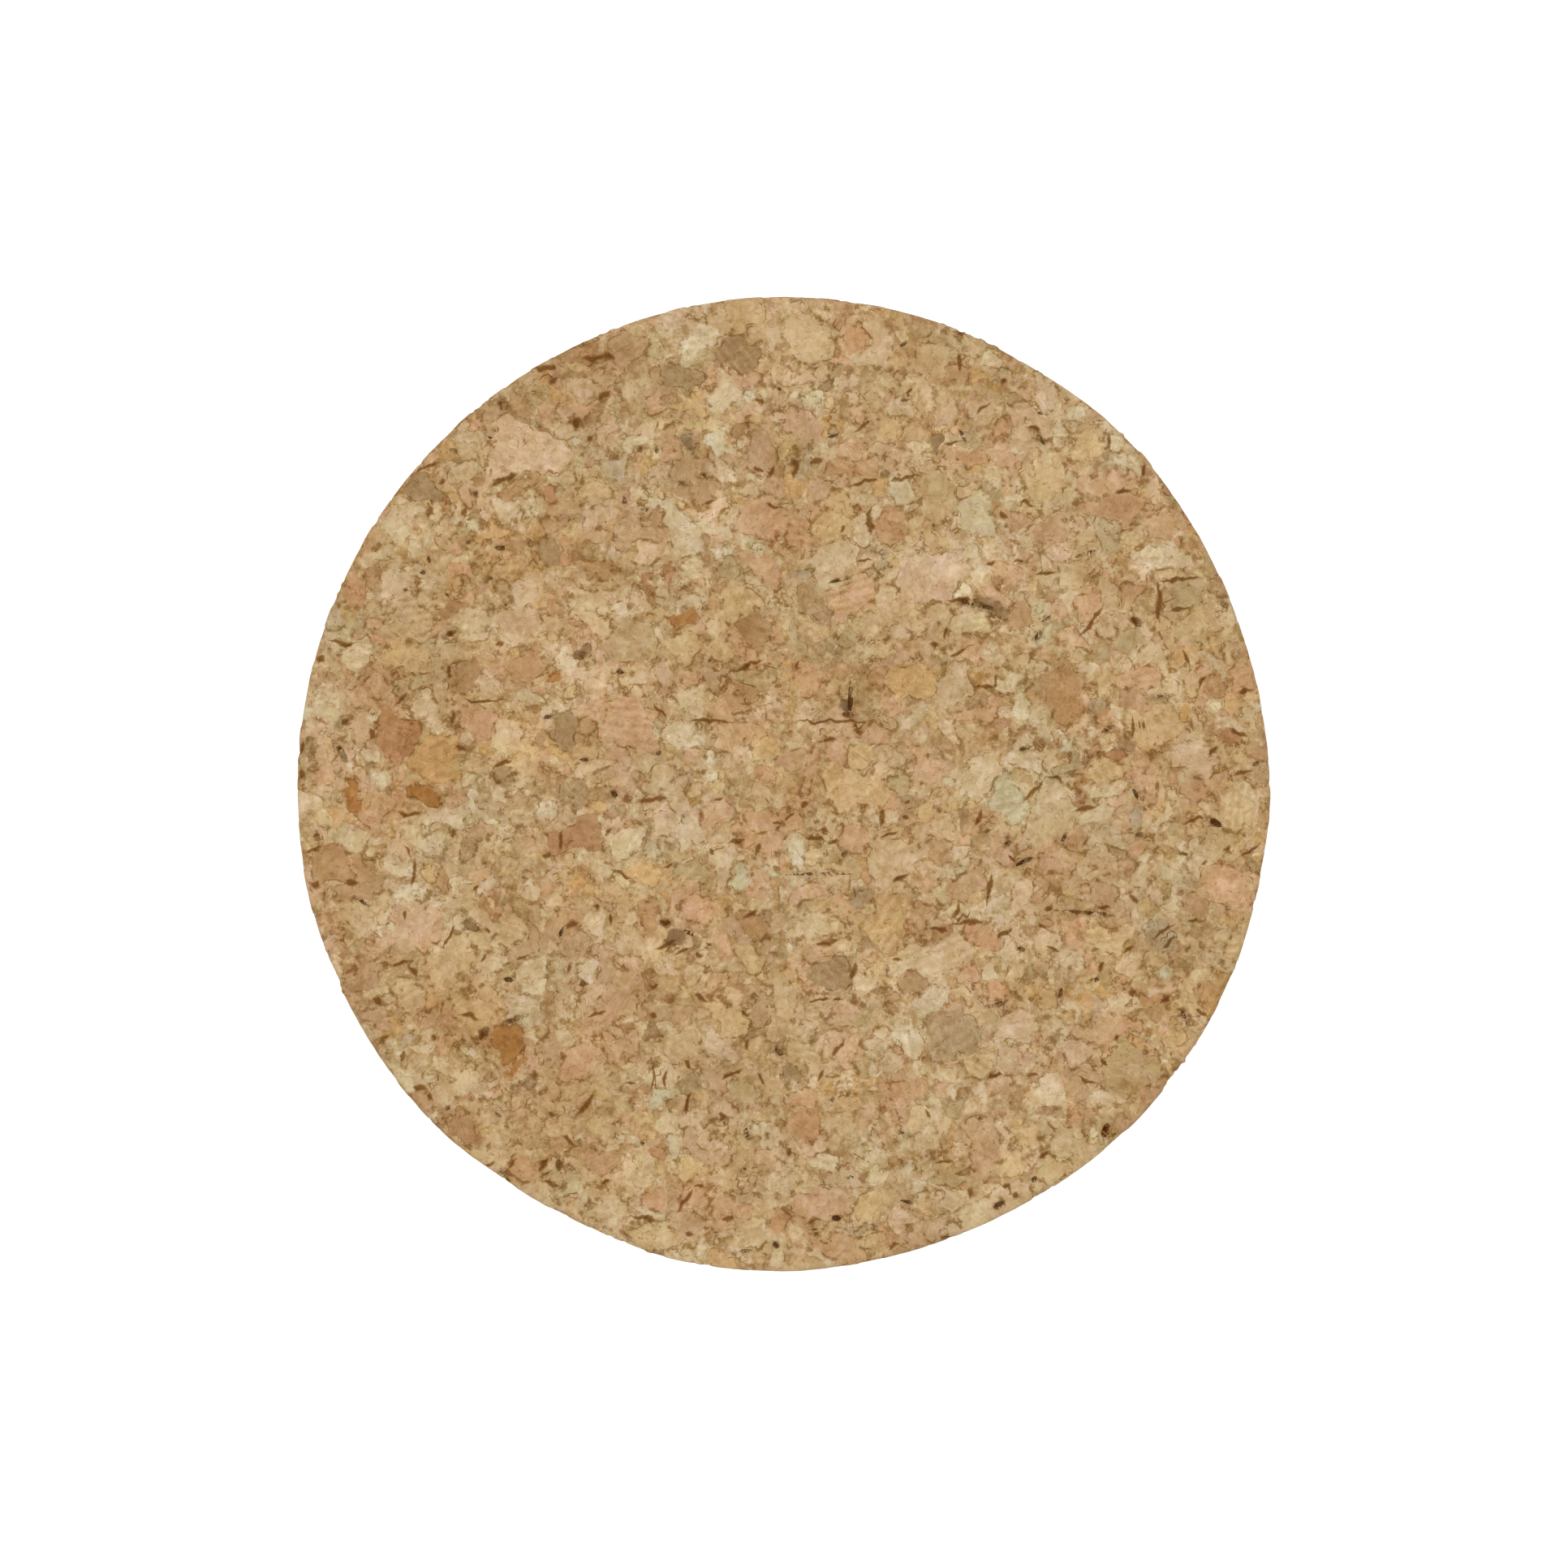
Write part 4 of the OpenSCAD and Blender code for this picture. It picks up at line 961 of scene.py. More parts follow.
def granule_grid(rng, pitch, filled):
    """A shaken grid round the body: the middle of each cell and whether a granule lies
    there, which is so for a share of the cells near the skin; then its corner and shape."""
    side_cells = math.ceil((TOP_R + MARGIN) / pitch)
    height_cells = math.ceil((HEIGHT + 2 * MARGIN) / pitch)
    shape = (2 * side_cells + 1, 2 * side_cells + 1, height_cells + 1)
    corner = np.array([-(side_cells + 0.5), -(side_cells + 0.5), 0]) * pitch - [0, 0, MARGIN]
    cell = np.indices(shape).reshape(3, -1).T
    shake = rng.uniform(-JITTER, JITTER, size=cell.shape)
    middle = corner + (cell + 0.5 + shake) * pitch
    away, z = np.hypot(middle[:, 0], middle[:, 1]), middle[:, 2]
    near_skin = (away > body_radius(z) - MARGIN) | (z > HEIGHT - MARGIN) | (z < MARGIN)
    used = (rng.random(len(cell)) < filled) & near_skin & (away < TOP_R + BEYOND)
    return middle, used, corner, np.array(shape)


# %% Fill the table
rng = np.random.default_rng(7)
placed_centre, placed_normal, placed_offset, placed_tone = placed_lumps(rng)
PORES = len(pore_deep)
centres = [pore_centre, placed_centre]
normals = [pore_normal, placed_normal]
offsets = [pore_offset, placed_offset]
tiers = [np.zeros(PORES, int), np.ones(len(placed_tone), int)]
# The pores' faces take the umber tone: partly the brown of torn cork, partly painted shade of the
# hole
tones = [np.full(PORES, TONE_NAMES.index("umber")), placed_tone]
grids = []
for tier, (pitch, filled, small, large) in enumerate(GRADES, start=FIRST_GRADE):
    middle, used, corner, shape = granule_grid(rng, pitch, filled)
    start = sum(len(c) for c in centres)
    ids = np.full(len(used), -1)
    ids[used] = start + np.arange(used.sum())
    size = rng.uniform(small, large, size=used.sum())
    normal, offset = lumps(rng, middle[used], size)
    centres.append(middle[used])
    normals.append(normal)
    offsets.append(offset)
    tiers.append(np.full(used.sum(), tier))
    tones.append(rng.choice(len(TONE_NAMES), size=used.sum(), p=SHARES))
    grids.append((pitch, corner, shape, ids))
centres, normals, offsets = map(np.concatenate, (centres, normals, offsets))
tiers, tones = map(np.concatenate, (tiers, tones))
LOOSE = len(centres)
print("granules in the table:", LOOSE)

# %% [markdown]
# ## Which granule is each point in?
#
# Each point asks the tiers in turn. The first tier with a granule around the point
# wins. The distance to the nearest joint comes out of the same search: it is the
# smallest of the depth in the winner, the distance to any tier above, and half of
# the lead over the runner-up in the same tier.

# %% Search
LOOK_AROUND = 0.6


def depth_in(points, which):
    """Depth of each point in its own granule: the largest distance beyond its planes."""
    offset = points - centres[which]
    return (np.einsum("pkj,pj->pk", normals[which], offset) - offsets[which]).max(axis=1)


def two_nearest(points, tier):
    """The two smallest depths at each point among a tier's granules, and the nearest
    granule. The pores and placed granules are asked one by one, those of a grid only
    where they lie in the point's own cell or one of the 26 round it."""
    best = np.full(len(points), FAR)
    second = np.full(len(points), FAR)
    winner = np.full(len(points), LOOSE)

    def offer(rows, which):
        depth = depth_in(points[rows], which)
        better = depth < best[rows]
        second[rows] = np.where(better, best[rows], np.minimum(second[rows], depth))
        best[rows] = np.where(better, depth, best[rows])
        winner[rows] = np.where(better, which, winner[rows])

    if tier < FIRST_GRADE:
        reach = offsets[tiers == tier].max(axis=1) + LOOK_AROUND
        for g, far in zip(np.flatnonzero(tiers == tier), reach):
            rows = np.flatnonzero(np.linalg.norm(points - centres[g], axis=1) < far)
            if len(rows):
                offer(rows, np.full(len(rows), g))
        return best, second, winner
    pitch, corner, shape, ids = grids[tier - FIRST_GRADE]
    cell = np.floor((points - corner) / pitch).astype(int)
    for step in np.ndindex(3, 3, 3):
        near = cell + np.array(step) - 1
        rows = np.flatnonzero(((near >= 0) & (near < shape)).all(axis=1))
        near = near[rows]
        which = ids[(near[:, 0] * shape[1] + near[:, 1]) * shape[2] + near[:, 2]]
        rows, which = rows[which >= 0], which[which >= 0]
        offer(rows, which)
    return best, second, winner


def search(points):
    """The granule that each point is in, or LOOSE, and its distance to the nearest joint."""
    moved = bent(points)
    label = np.full(len(points), LOOSE)
    joint = np.full(len(points), FAR)
    for tier in range(FIRST_GRADE + len(GRADES)):
        open_rows = np.flatnonzero(label == LOOSE)
        source = points if tier == 0 else moved
        best, second, winner = two_nearest(source[open_rows], tier)
        inside = best < 0
        joint[open_rows] = np.minimum(joint[open_rows], np.abs(best))
        joint[open_rows[inside]] = np.minimum(joint[open_rows[inside]], (second - best)[inside] / 2)
        label[open_rows[inside]] = winner[inside]
    return label, joint


# %% Granule of each face
points = place(point_line, point_turn)
face_label, _ = search(points[triangles].mean(axis=1))
print("faces in loose crumb:", round((face_label == LOOSE).mean(), 3))

# %% [markdown]
# ## Sliding the skin's points onto the joints
#
# A face belongs to the granule at its middle, so joints at first run in zigzags
# along the triangles. Each point on a joint slides over the skin to the true joint:
# where two granules of one tier are equally deep, or at the surface of the one that
# was laid first. The slide is that distance over its slope, and it stays under half
# of the spacing, so that the triangles keep their order.

# %% Distance to a joint
AFTER_ALL = 99


def tier_of(granule):
    """Tier of each granule. Loose crumb comes after all of them."""
    return np.where(granule == LOOSE, AFTER_ALL, tiers[np.minimum(granule, LOOSE - 1)])


def joint_gap(points, a, b):
    """How far each point is from the joint of its granules a and b, and the direction in
    which that grows. Only the granule of the earlier tier counts, or both in one tier."""
    moved = bent(points)
    gap = np.zeros(len(points))
    slope = np.zeros((len(points), 3))
    for which, other, sign in ((a, b, 1.0), (b, a, -1.0)):
        tier = tier_of(which)
        rows = np.flatnonzero(tier <= tier_of(other))
        g = which[rows]
        at = np.where((tier[rows] == 0)[:, None], points[rows], moved[rows])
        distance = np.einsum("pkj,pj->pk", normals[g], at - centres[g]) - offsets[g]
        top = distance.argmax(axis=1)
        gap[rows] += sign * distance[np.arange(len(rows)), top]
        slope[rows] += sign * normals[g, top]
    return gap, slope


# %% Edges that lie on joints
edges = np.vstack([triangles[:, [0, 1]], triangles[:, [1, 2]], triangles[:, [2, 0]]])
edge_label = np.tile(face_label, 3)
low, high = edges.min(axis=1), edges.max(axis=1)
order = np.lexsort((high, low))
pairs = order.reshape(-1, 2)
split = edge_label[pairs[:, 0]] != edge_label[pairs[:, 1]]
joint_edges = edges[pairs[split, 0]]
side_a, side_b = edge_label[pairs[split, 0]], edge_label[pairs[split, 1]]
on_joint = np.zeros(len(points), bool)
on_joint[joint_edges] = True
end = joint_edges.T.reshape(-1)
side_a, side_b = np.tile(side_a, 2), np.tile(side_b, 2)
print(f"{len(joint_edges)} edges and {on_joint.sum()} points on joints")

# %% Slide
MOST_SLIDE = 0.42
LEAST_STEEP = 0.15
NEAR_AXIS = 0.3
HAIR = 1e-6
SLIDES = 4
spacing = np.where(point_line < RIM_END, TOP_STEP, SIDE_STEP)
radius_here = np.maximum(np.hypot(points[:, 0], points[:, 1]), NEAR_AXIS)
start_line, start_turn = point_line.copy(), point_turn.copy()
held = (point_line < TOP_STEP / 2) | (point_line > LINE_END - FOOT_STEP / 2)
held |= (point_line >= TOP_END) & (point_line <= RIM_END + HAIR)
held |= (point_line >= SIDE_END - HAIR) & (point_line <= FOOT_START)
for _ in range(SLIDES):
    here = place(point_line, point_turn)[end]
    gap, slope = joint_gap(here, side_a, side_b)
    normal = outward(point_line[end], point_turn[end])
    slope -= normal * np.sum(slope * normal, axis=1, keepdims=True)
    steep = np.maximum(np.sum(slope**2, axis=1, keepdims=True), LEAST_STEEP)
    move = -slope * gap[:, None] / steep
    around = np.stack([-np.sin(point_turn[end]), np.cos(point_turn[end]), 0 * gap], axis=1)
    down = np.cross(around, normal)
    count = np.maximum(np.bincount(end, minlength=len(points)), 1)
    along = np.bincount(end, np.sum(move * down, axis=1), len(points)) / count
    across = np.bincount(end, np.sum(move * around, axis=1), len(points)) / count
    new_line = point_line + along
    new_turn = point_turn + across / radius_here
    far_line = new_line - start_line
    far_turn = (new_turn - start_turn) * radius_here
    far = np.maximum(np.hypot(far_line, far_turn), 1e-9)
    shrink = np.minimum(1, MOST_SLIDE * spacing / far)
    free = ~held
    point_line = np.where(free, start_line + far_line * shrink, start_line)
    point_turn = np.where(free, start_turn + far_turn * shrink / radius_here, start_turn)
print(f"mean gap left {np.abs(gap).mean():.4f} mm")

# %% [markdown]
# ## Relief
#
# Sanding leaves soft granules a hair lower than hard ones, and tears a little out of
# every joint. Here each granule gets a height by chance, the joints and the cracks
# are sunk a little, and the pores go down, some of them partly bridged by torn cork.
# A triangle of a pore with all its corners on joints gets one more point in its
# middle, so that a narrow pore has a depth too.

# %% Points in the middle of narrow pores
narrow = on_joint[triangles].all(axis=1) & (face_label < PORES)
extra = triangles[narrow]
middle_line = point_line[extra].mean(axis=1)
turn = point_turn[extra]
turn = turn[:, :1] + (turn - turn[:, :1] + np.pi) % (2 * np.pi) - np.pi
middle_turn = turn.mean(axis=1)
middle_id = len(point_line) + np.arange(len(extra))
point_line = np.concatenate([point_line, middle_line])
point_turn = np.concatenate([point_turn, middle_turn])
on_joint = np.concatenate([on_joint, np.zeros(len(extra), bool)])
sides = ((0, 1), (1, 2), (2, 0))
fans = [np.stack([extra[:, a], extra[:, b], middle_id], axis=1) for a, b in sides]
triangles = np.vstack([triangles[~narrow]] + fans)
face_label = np.concatenate([face_label[~narrow]] + [face_label[narrow]] * 3)
print(len(extra), "triangles of narrow pores split;", len(triangles), "triangles in all")

# %% Heights
JOINT_SINK = 0.05
GRANULE_RISE = 0.025
CRUMB_SINK = 0.02
FINE_RISE = 0.012
CRACK_SINK = 0.07
PORE_WALL = 0.30


def wander(wavelength, seed, middle, reach, low, high=1):
    """A number for each point that drifts smoothly about a middle and stays between two."""
    return np.clip(middle + reach * drift(points, wavelength, seed)[:, 0], low, high)


points = place(point_line, point_turn)
normal = outward(point_line, point_turn)
point_label, joint = search(points)
joint = np.where(on_joint, 0, np.minimum(joint, FAR))
granule_height = np.append(rng.normal(scale=GRANULE_RISE, size=LOOSE), -CRUMB_SINK)
open_joint = wander(2.2, 21, middle=0.5, reach=0.8, low=0)
rise = np.where(on_joint, -JOINT_SINK * open_joint, granule_height[point_label])
rise = rise + FINE_RISE * drift(points, 0.7, 22)[:, 0]
crack_across, crack_strength = crack_fields(points)
rise = rise - CRACK_SINK * crack_strength * np.clip(1.5 - np.abs(crack_across), 0, 1)
in_pore = point_label < PORES
pore = np.minimum(point_label, PORES - 1)
pore_slope = np.clip(joint / (PORE_WALL * pore_wide[pore]), 0, 1)
bridged = wander(0.65, 23, middle=0.70, reach=0.8, low=0.12)
pore_sink = np.where(in_pore & ~on_joint, pore_deep[pore] * pore_slope * bridged, 0)
points = points + normal * (rise - pore_sink)[:, None]
points[:, 2] = np.maximum(points[:, 2], 0)
print(f"deepest pore {pore_sink.max():.2f} mm")

# %% [markdown]
# ## Into the mesh
#
# Each face keeps its granule's tone and three random numbers, and each corner its
# distance to the nearest joint. Each point keeps the mean tone round it, the depth
# of its pore and its place on a crack. The finish reads these as attributes, so the
# pattern follows the skin wherever it is seen from.

# %% Arrays into a mesh
ATTRIBUTE_KEYS = {"FLOAT": "value", "FLOAT_VECTOR": "vector", "FLOAT_COLOR": "color"}


def add_attribute(mesh, name, kind, domain, values):
    """Stores one number, vector or colour per face, point or corner of a face."""
    made = mesh.attributes.new(name, kind, domain)
    made.data.foreach_set(ATTRIBUTE_KEYS[kind], np.ascontiguousarray(values, np.float32).ravel())


def new_mesh(name, points, triangles):
    """A mesh from whole arrays of points in mm and triangles."""
    mesh = bpy.data.meshes.new(name)
    mesh.vertices.add(len(points))
    mesh.vertices.foreach_set("co", (points * MM).astype(np.float32).ravel())
    mesh.loops.add(3 * len(triangles))
    mesh.loops.foreach_set("vertex_index", triangles.astype(np.int32).ravel())
    mesh.polygons.add(len(triangles))
    mesh.polygons.foreach_set("loop_start", np.arange(0, 3 * len(triangles), 3, dtype=np.int32))
    mesh.polygons.foreach_set("use_smooth", np.ones(len(triangles), bool))
    mesh.update(calc_edges=True)
    return mesh


def mean_at_points(values):
    """For each point, the mean over the faces round it of a value that each face has."""
    corners = triangles.ravel()
    sums = [np.bincount(corners, np.repeat(column, 3), len(points)) for column in values.T]
    return np.stack(sums, axis=1) / np.bincount(corners, minlength=len(points))[:, None]


# %% Tone, turn and joint distance of each face
MEAN_TONE = SHARES @ TONE_TABLE
# Chance shows its strong tones on small granules; a large one stays near the mean
TONE_PULL = np.array([1.0, 1.0, 0.6, 0.75, 0.75])
TONE_SPREAD = 0.03
granule_tone = MEAN_TONE + (TONE_TABLE[tones] - MEAN_TONE) * TONE_PULL[tiers][:, None]
granule_tone = granule_tone * rng.normal(1, TONE_SPREAD, size=(LOOSE, 1))
granule_tone = np.vstack([granule_tone, [MEAN_TONE]])
granule_turn = np.vstack([rng.random(size=(LOOSE, 3)), [[0, 0, 0]]])
# A triangle with all its corners on joints is a sliver of a granule, and not all joint
SLIVER_JOINT = 0.07
corner_joint = joint[triangles]
corner_joint[on_joint[triangles].all(axis=1)] = SLIVER_JOINT
face_tone = np.hstack([granule_tone[face_label], np.ones((len(face_label), 1))])
print(f"{(corner_joint == SLIVER_JOINT).all(axis=1).sum()} slivers")

# %% The skin
skin_mesh = new_mesh("stopper_skin", points, triangles)
add_attribute(skin_mesh, "tone", "FLOAT_COLOR", "FACE", face_tone)
add_attribute(skin_mesh, "soft_tone", "FLOAT_COLOR", "POINT", mean_at_points(face_tone))
add_attribute(skin_mesh, "turn", "FLOAT_VECTOR", "FACE", granule_turn[face_label])
add_attribute(skin_mesh, "loose", "FLOAT", "FACE", face_label == LOOSE)
add_attribute(skin_mesh, "joint", "FLOAT", "CORNER", corner_joint)
add_attribute(skin_mesh, "sunk", "FLOAT", "POINT", pore_sink)
add_attribute(skin_mesh, "crack_across", "FLOAT", "POINT", crack_across)
add_attribute(skin_mesh, "crack_strength", "FLOAT", "POINT", crack_strength)
skin = bpy.data.objects.new("stopper_skin", skin_mesh)
bpy.context.collection.objects.link(skin)
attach(skin, "root")
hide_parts("stopper")
print("skin:", len(points), "points,", len(triangles), "triangles")

# %% [markdown]
# ## The finish
#
# The finish adds what is finer than the mesh. It is one material in thin layers,
# each a small set of nodes on the object's own coordinates, in millimetres. Such a
# pattern needs no unwrapping and runs over the edges without a seam. These few
# methods keep the lines that build it short.

# %% A short way to add nodes
# waves per mm, detail and roughness of each cloudy noise
NOISES = {
    "broad push": (1.5, 2.0, 0.6),
    "fine push": (5.0, 3.0, 0.6),
    "cloud": (0.17, 5.0, 0.66),
    "patch": (0.8, 3.0, 0.6),
    "blush": (1.1, 3.0, 0.6),
    "mottle": (1.3, 6.0, 0.76),
    "crumple": (3.4, 4.0, 0.65),
    "grain": (4.2, 3.0, 0.62),
    "gnaw": (1.7, 3.0, 0.6),
    "breaks": (2.3, 3.0, 0.6),
    "wrinkle": (0.95, 3.0, 0.55),
    # blots of painted shade along the joints
    "shade_blots": (1.25, 4.0, 0.6),
    "fleck": (3.9, 3.0, 0.6),
}


class Finish:
    """A material under construction. Each method adds nodes and gives back the node or
    its output."""

    def __init__(self, name):
        self.material = bpy.data.materials.new(name)
        self.material.use_nodes = True
        self.tree = self.material.node_tree
        self.tree.nodes.clear()

    def put(self, socket, value):
        """Links an input socket to another node's output, or sets its value."""
        if isinstance(value, bpy.types.NodeSocket):
            self.tree.links.new(value, socket)
        else:
            socket.default_value = value

    def node(self, kind, sockets=(), **settings):
        """Adds a node, sets its properties, and sets or links its input sockets."""
        made = self.tree.nodes.new(kind)
        for key, value in settings.items():
            setattr(made, key, value)
        for key, value in dict(sockets).items():
            self.put(made.inputs[key], value)
        return made

    def math(self, operation, a, b=0.0, c=0.0):
        """One sum on numbers."""
        sockets = {0: a, 1: b, 2: c}
        return self.node("ShaderNodeMath", sockets, operation=operation).outputs[0]

    def vector(self, operation, a, b=(0, 0, 0)):
        """One sum on vectors."""
        return self.node("ShaderNodeVectorMath", {0: a, 1: b}, operation=operation).outputs[0]

    def stretch(self, value, low, high, to_low=0.0, to_high=1.0):
        """Stretches low..high to to_low..to_high smoothly, and holds the ends."""
        sockets = {
            "Value": value, "From Min": low, "From Max": high, "To Min": to_low, "To Max": to_high
        }
        made = self.node("ShaderNodeMapRange", sockets, interpolation_type="SMOOTHSTEP")
        return made.outputs["Result"]

    def mix(self, share, a, b, blend="MIX"):
        """Mixes two colours by a share."""
        made = self.node("ShaderNodeMix", data_type="RGBA", blend_type=blend)
        for key, value in ((0, share), (6, a), (7, b)):
            self.put(made.inputs[key], value)
        return made.outputs[2]

    def noise(self, place, name, output="Fac"):
        """One of the noises, from 0 to 1: a number (Fac) or three (Color)."""
        scale, detail, rough = NOISES[name]
        sockets = {"Vector": place, "Scale": scale, "Detail": detail, "Roughness": rough}
        return self.node("ShaderNodeTexNoise", sockets).outputs[output]

    def attribute(self, name, output="Fac"):
        """Reads what the mesh stores under a name."""
        return self.node("ShaderNodeAttribute", attribute_name=name).outputs[output]

    def part(self, colour, channel):
        """One channel of a colour."""
        return self.node("ShaderNodeSeparateColor", {"Color": colour}).outputs[channel]

    def shown(self, sockets):
        """Ends the material with one shader that has these sockets."""
        shader = self.node("ShaderNodeBsdfPrincipled", sockets).outputs["BSDF"]
        self.node("ShaderNodeOutputMaterial", {"Surface": shader})
        return self.material


# %% [markdown]
# ## How cork darkens
#
# Cork doesn't turn grey in a dark spot. It turns to a richer brown, because green
# and blue fall faster than red there. All light and shade below goes through one
# rule for that, and so it looks like the same stuff everywhere.

# %% Helpers for colour and place
GREEN_FALL = 1.35
BLUE_FALL = 2.0


def shaded(f, colour, shade):
    """Colour times the shade on red, its power 1.35 on green and its square on blue."""
    green = f.math("POWER", shade, GREEN_FALL)
    blue = f.math("POWER", shade, BLUE_FALL)
    sockets = {"Red": shade, "Green": green, "Blue": blue}
    return f.mix(1.0, colour, f.node("ShaderNodeCombineColor", sockets).outputs[0], "MULTIPLY")


def darkened(f, colour, mask, by):
    """Colour under a shade of 1 less the mask times a number."""
    return shaded(f, colour, f.math("MULTIPLY_ADD", mask, -by, 1.0))


def painted(f, colour, share, rgb):
    """Colour mixed, by a share, with a display colour."""
    return f.mix(share, colour, (*reflectance(rgb), 1))


def centred(f, value, reach):
    """A number from 0 to 1 turned into one from minus to plus half of the reach."""
    return f.math("MULTIPLY_ADD", value, reach, -reach / 2)


def scaled(f, vector, by):
    """A vector times a number."""
    out = f.vector("SCALE", vector)
    out.node.inputs["Scale"].default_value = by
    return out


def push_about(f, place, name, reach):
    """Pushes a place about by a noise, up to half of the reach each way."""
    push = f.noise(place, name, "Color")
    return f.vector("ADD", place, scaled(f, f.vector("SUBTRACT", push, (0.5, 0.5, 0.5)), reach))


# %% [markdown]
# ## Crumb
#
# Between the granules lies the crumb that the mill made. It is two patterns of
# cells, one of crumbs near a millimetre and one of finer crumbs that breaks up about
# half of those. Each cell takes a tone from a short list. The places are pushed
# about first, because plain cells have straight walls.

# %% Crumb as two sizes of cells
CRUMB_TONES = [
    "tan", "rose", "light", "fawn", "straw", "brown", "pale", "tan", "olive",
    "light", "golden", "fawn", "tan", "pale", "rose", "light", "olive_brown", "straw",
]
CRUMB_CELLS = 1.12
FINE_CELLS = 2.7
FINE_FROM = 0.55
FINE_TONE_MIX = 0.5
TAN_IN_CRUMB = 0.08


def tone_ramp(f, value, names):
    """Picks one tone for each part of 0..1, all parts equal."""
    ramp = f.node("ShaderNodeValToRGB", {"Fac": value})
    ramp.color_ramp.interpolation = "CONSTANT"
    while len(ramp.color_ramp.elements) < len(names):
        ramp.color_ramp.elements.new(1.0)
    for k, name in enumerate(names):
        ramp.color_ramp.elements[k].position = k / len(names)
        ramp.color_ramp.elements[k].color = (*reflectance(TONES[name]), 1)
    return ramp.outputs["Color"]


def cells(f, place, per_mm):
    """A random colour for each cell of a Voronoi pattern, and the distance to a cell's
    edge in mm."""
    sockets = {"Vector": place, "Scale": per_mm, "Randomness": 1.0}
    colour = f.node("ShaderNodeTexVoronoi", sockets).outputs["Color"]
    edge = f.node("ShaderNodeTexVoronoi", sockets, feature="DISTANCE_TO_EDGE")
    return colour, f.math("DIVIDE", edge.outputs["Distance"], per_mm)


def crumb_layer(f, pushed):
    """Tone and joint distance of the crumb, the large cells' colour, and a random number
    of each fine and of each large cell."""
    colour, edge = cells(f, pushed, CRUMB_CELLS)
    fine_colour, fine_edge = cells(f, pushed, FINE_CELLS)
    is_fine = f.stretch(f.part(colour, "Green"), FINE_FROM, FINE_FROM + 0.01)
    tone = tone_ramp(f, f.part(colour, "Red"), CRUMB_TONES)
    fine_tone = tone_ramp(f, f.part(fine_colour, "Red"), CRUMB_TONES[::-1])
    tone = f.mix(is_fine, tone, f.mix(FINE_TONE_MIX, fine_tone, tone))
    tone = painted(f, tone, TAN_IN_CRUMB, TONES["tan"])
    fine_joint = f.math("MULTIPLY_ADD", is_fine, -FAR, f.math("ADD", fine_edge, FAR))
    joint = f.math("MINIMUM", edge, fine_joint)
    return tone, joint, colour, f.part(fine_colour, "Green"), f.part(colour, "Blue")


# %% [markdown]
# ## Light and dark
#
# No granule is one flat tone. Growth rings and rows of cells run through it in its
# own direction, it is mottled, and broad clouds of lighter and warmer stuff cross
# the whole block. Each of these adds to one number, the shade.

# %% Light and dark within the tones
SHADE_MIDDLE = 0.992
SHADE_PARTS = {
    "grain": 0.50, "mottle": 0.64, "crumple": 0.42, "cloud": 0.70,
    "fine cells": 0.15, "crumb cells": 0.10,
}
GRAIN_SQUEEZE = (1.0, 0.16, 1.0)
OWN_SHIFT = (3.0, 5.0, 7.0)
RINGS = {"Scale": 0.85, "Distortion": 2.5, "Detail": 2.0, "Detail Scale": 0.7}
RINGED_TURNS = (4.0, 6.0)
RING_STRENGTH = (0.02, 0.12)
BLUSH = (0.06, 0.2, 0.4)
WARM_GREEN = 0.38
WARM_BLUE = 0.74


def shade_layer(f, place_mm, turn, crumple, fine_pick, crumb_pick):
    """The shade, the tint and the mottle. The shade is a middle value plus each noise,
    less a half, times its strength, plus the rings where a granule shows them."""
    own_place = f.vector("ADD", place_mm, f.vector("MULTIPLY", turn, OWN_SHIFT))
    rotation = {"Vector": own_place, "Rotation": turn}
    grain_place = f.node("ShaderNodeVectorRotate", rotation, rotation_type="EULER_XYZ")
    grain_place = grain_place.outputs["Vector"]
    ring_sockets = {"Vector": grain_place, **RINGS}
    rings = f.node("ShaderNodeTexWave", ring_sockets, bands_direction="X").outputs["Fac"]
    turn_x = f.node("ShaderNodeSeparateXYZ", {"Vector": turn}).outputs["X"]
    ringed = f.stretch(turn_x, *RINGED_TURNS, *RING_STRENGTH)
    mottle = f.noise(own_place, "mottle")
    cloud = f.noise(place_mm, "cloud")
    parts = {
        "grain": f.noise(f.vector("MULTIPLY", grain_place, GRAIN_SQUEEZE), "grain"),
        "mottle": mottle,
        "crumple": crumple,
        "cloud": cloud,
        "fine cells": fine_pick,
        "crumb cells": crumb_pick,
    }
    shade = SHADE_MIDDLE
    for name, strength in SHADE_PARTS.items():
        shade = f.math("ADD", shade, centred(f, parts[name], strength))
    shade = f.math("ADD", shade, f.math("MULTIPLY", f.math("SUBTRACT", rings, 0.5), ringed))

    blush = f.vector("SUBTRACT", f.noise(own_place, "blush", "Color"), (0.5, 0.5, 0.5))
    tint = f.vector("MULTIPLY", blush, BLUSH)
    warm = f.part(cloud.node.outputs["Color"], "Green")
    warm = {"Y": centred(f, warm, WARM_GREEN), "Z": centred(f, warm, WARM_BLUE)}
    tint = f.vector("ADD", tint, f.node("ShaderNodeCombineXYZ", warm).outputs["Vector"])
    return shade, f.vector("ADD", tint, (1.0, 1.0, 1.0)), mottle


# %% [markdown]
# ## Joints
#
# Thin brown lines show in the joints, broken where two granules meet tightly. They
# are partly glue and torn cells and partly painted shade, the shade that falls into
# a crevice too narrow for the mesh. Finer wrinkles run on into the granules. A
# wrinkle lies where a cloudy noise passes through its middle value, which makes
# thin, wandering lines.

# %% Lines in the joints
LINE_STRENGTH = 0.52
LINE_WIDTHS = (0.06, 0.19)
LOOSE_FADE = 0.45
WRINKLE_FROM = 0.003
WRINKLE_TO = 0.020
WRINKLE_STRENGTH = 0.60


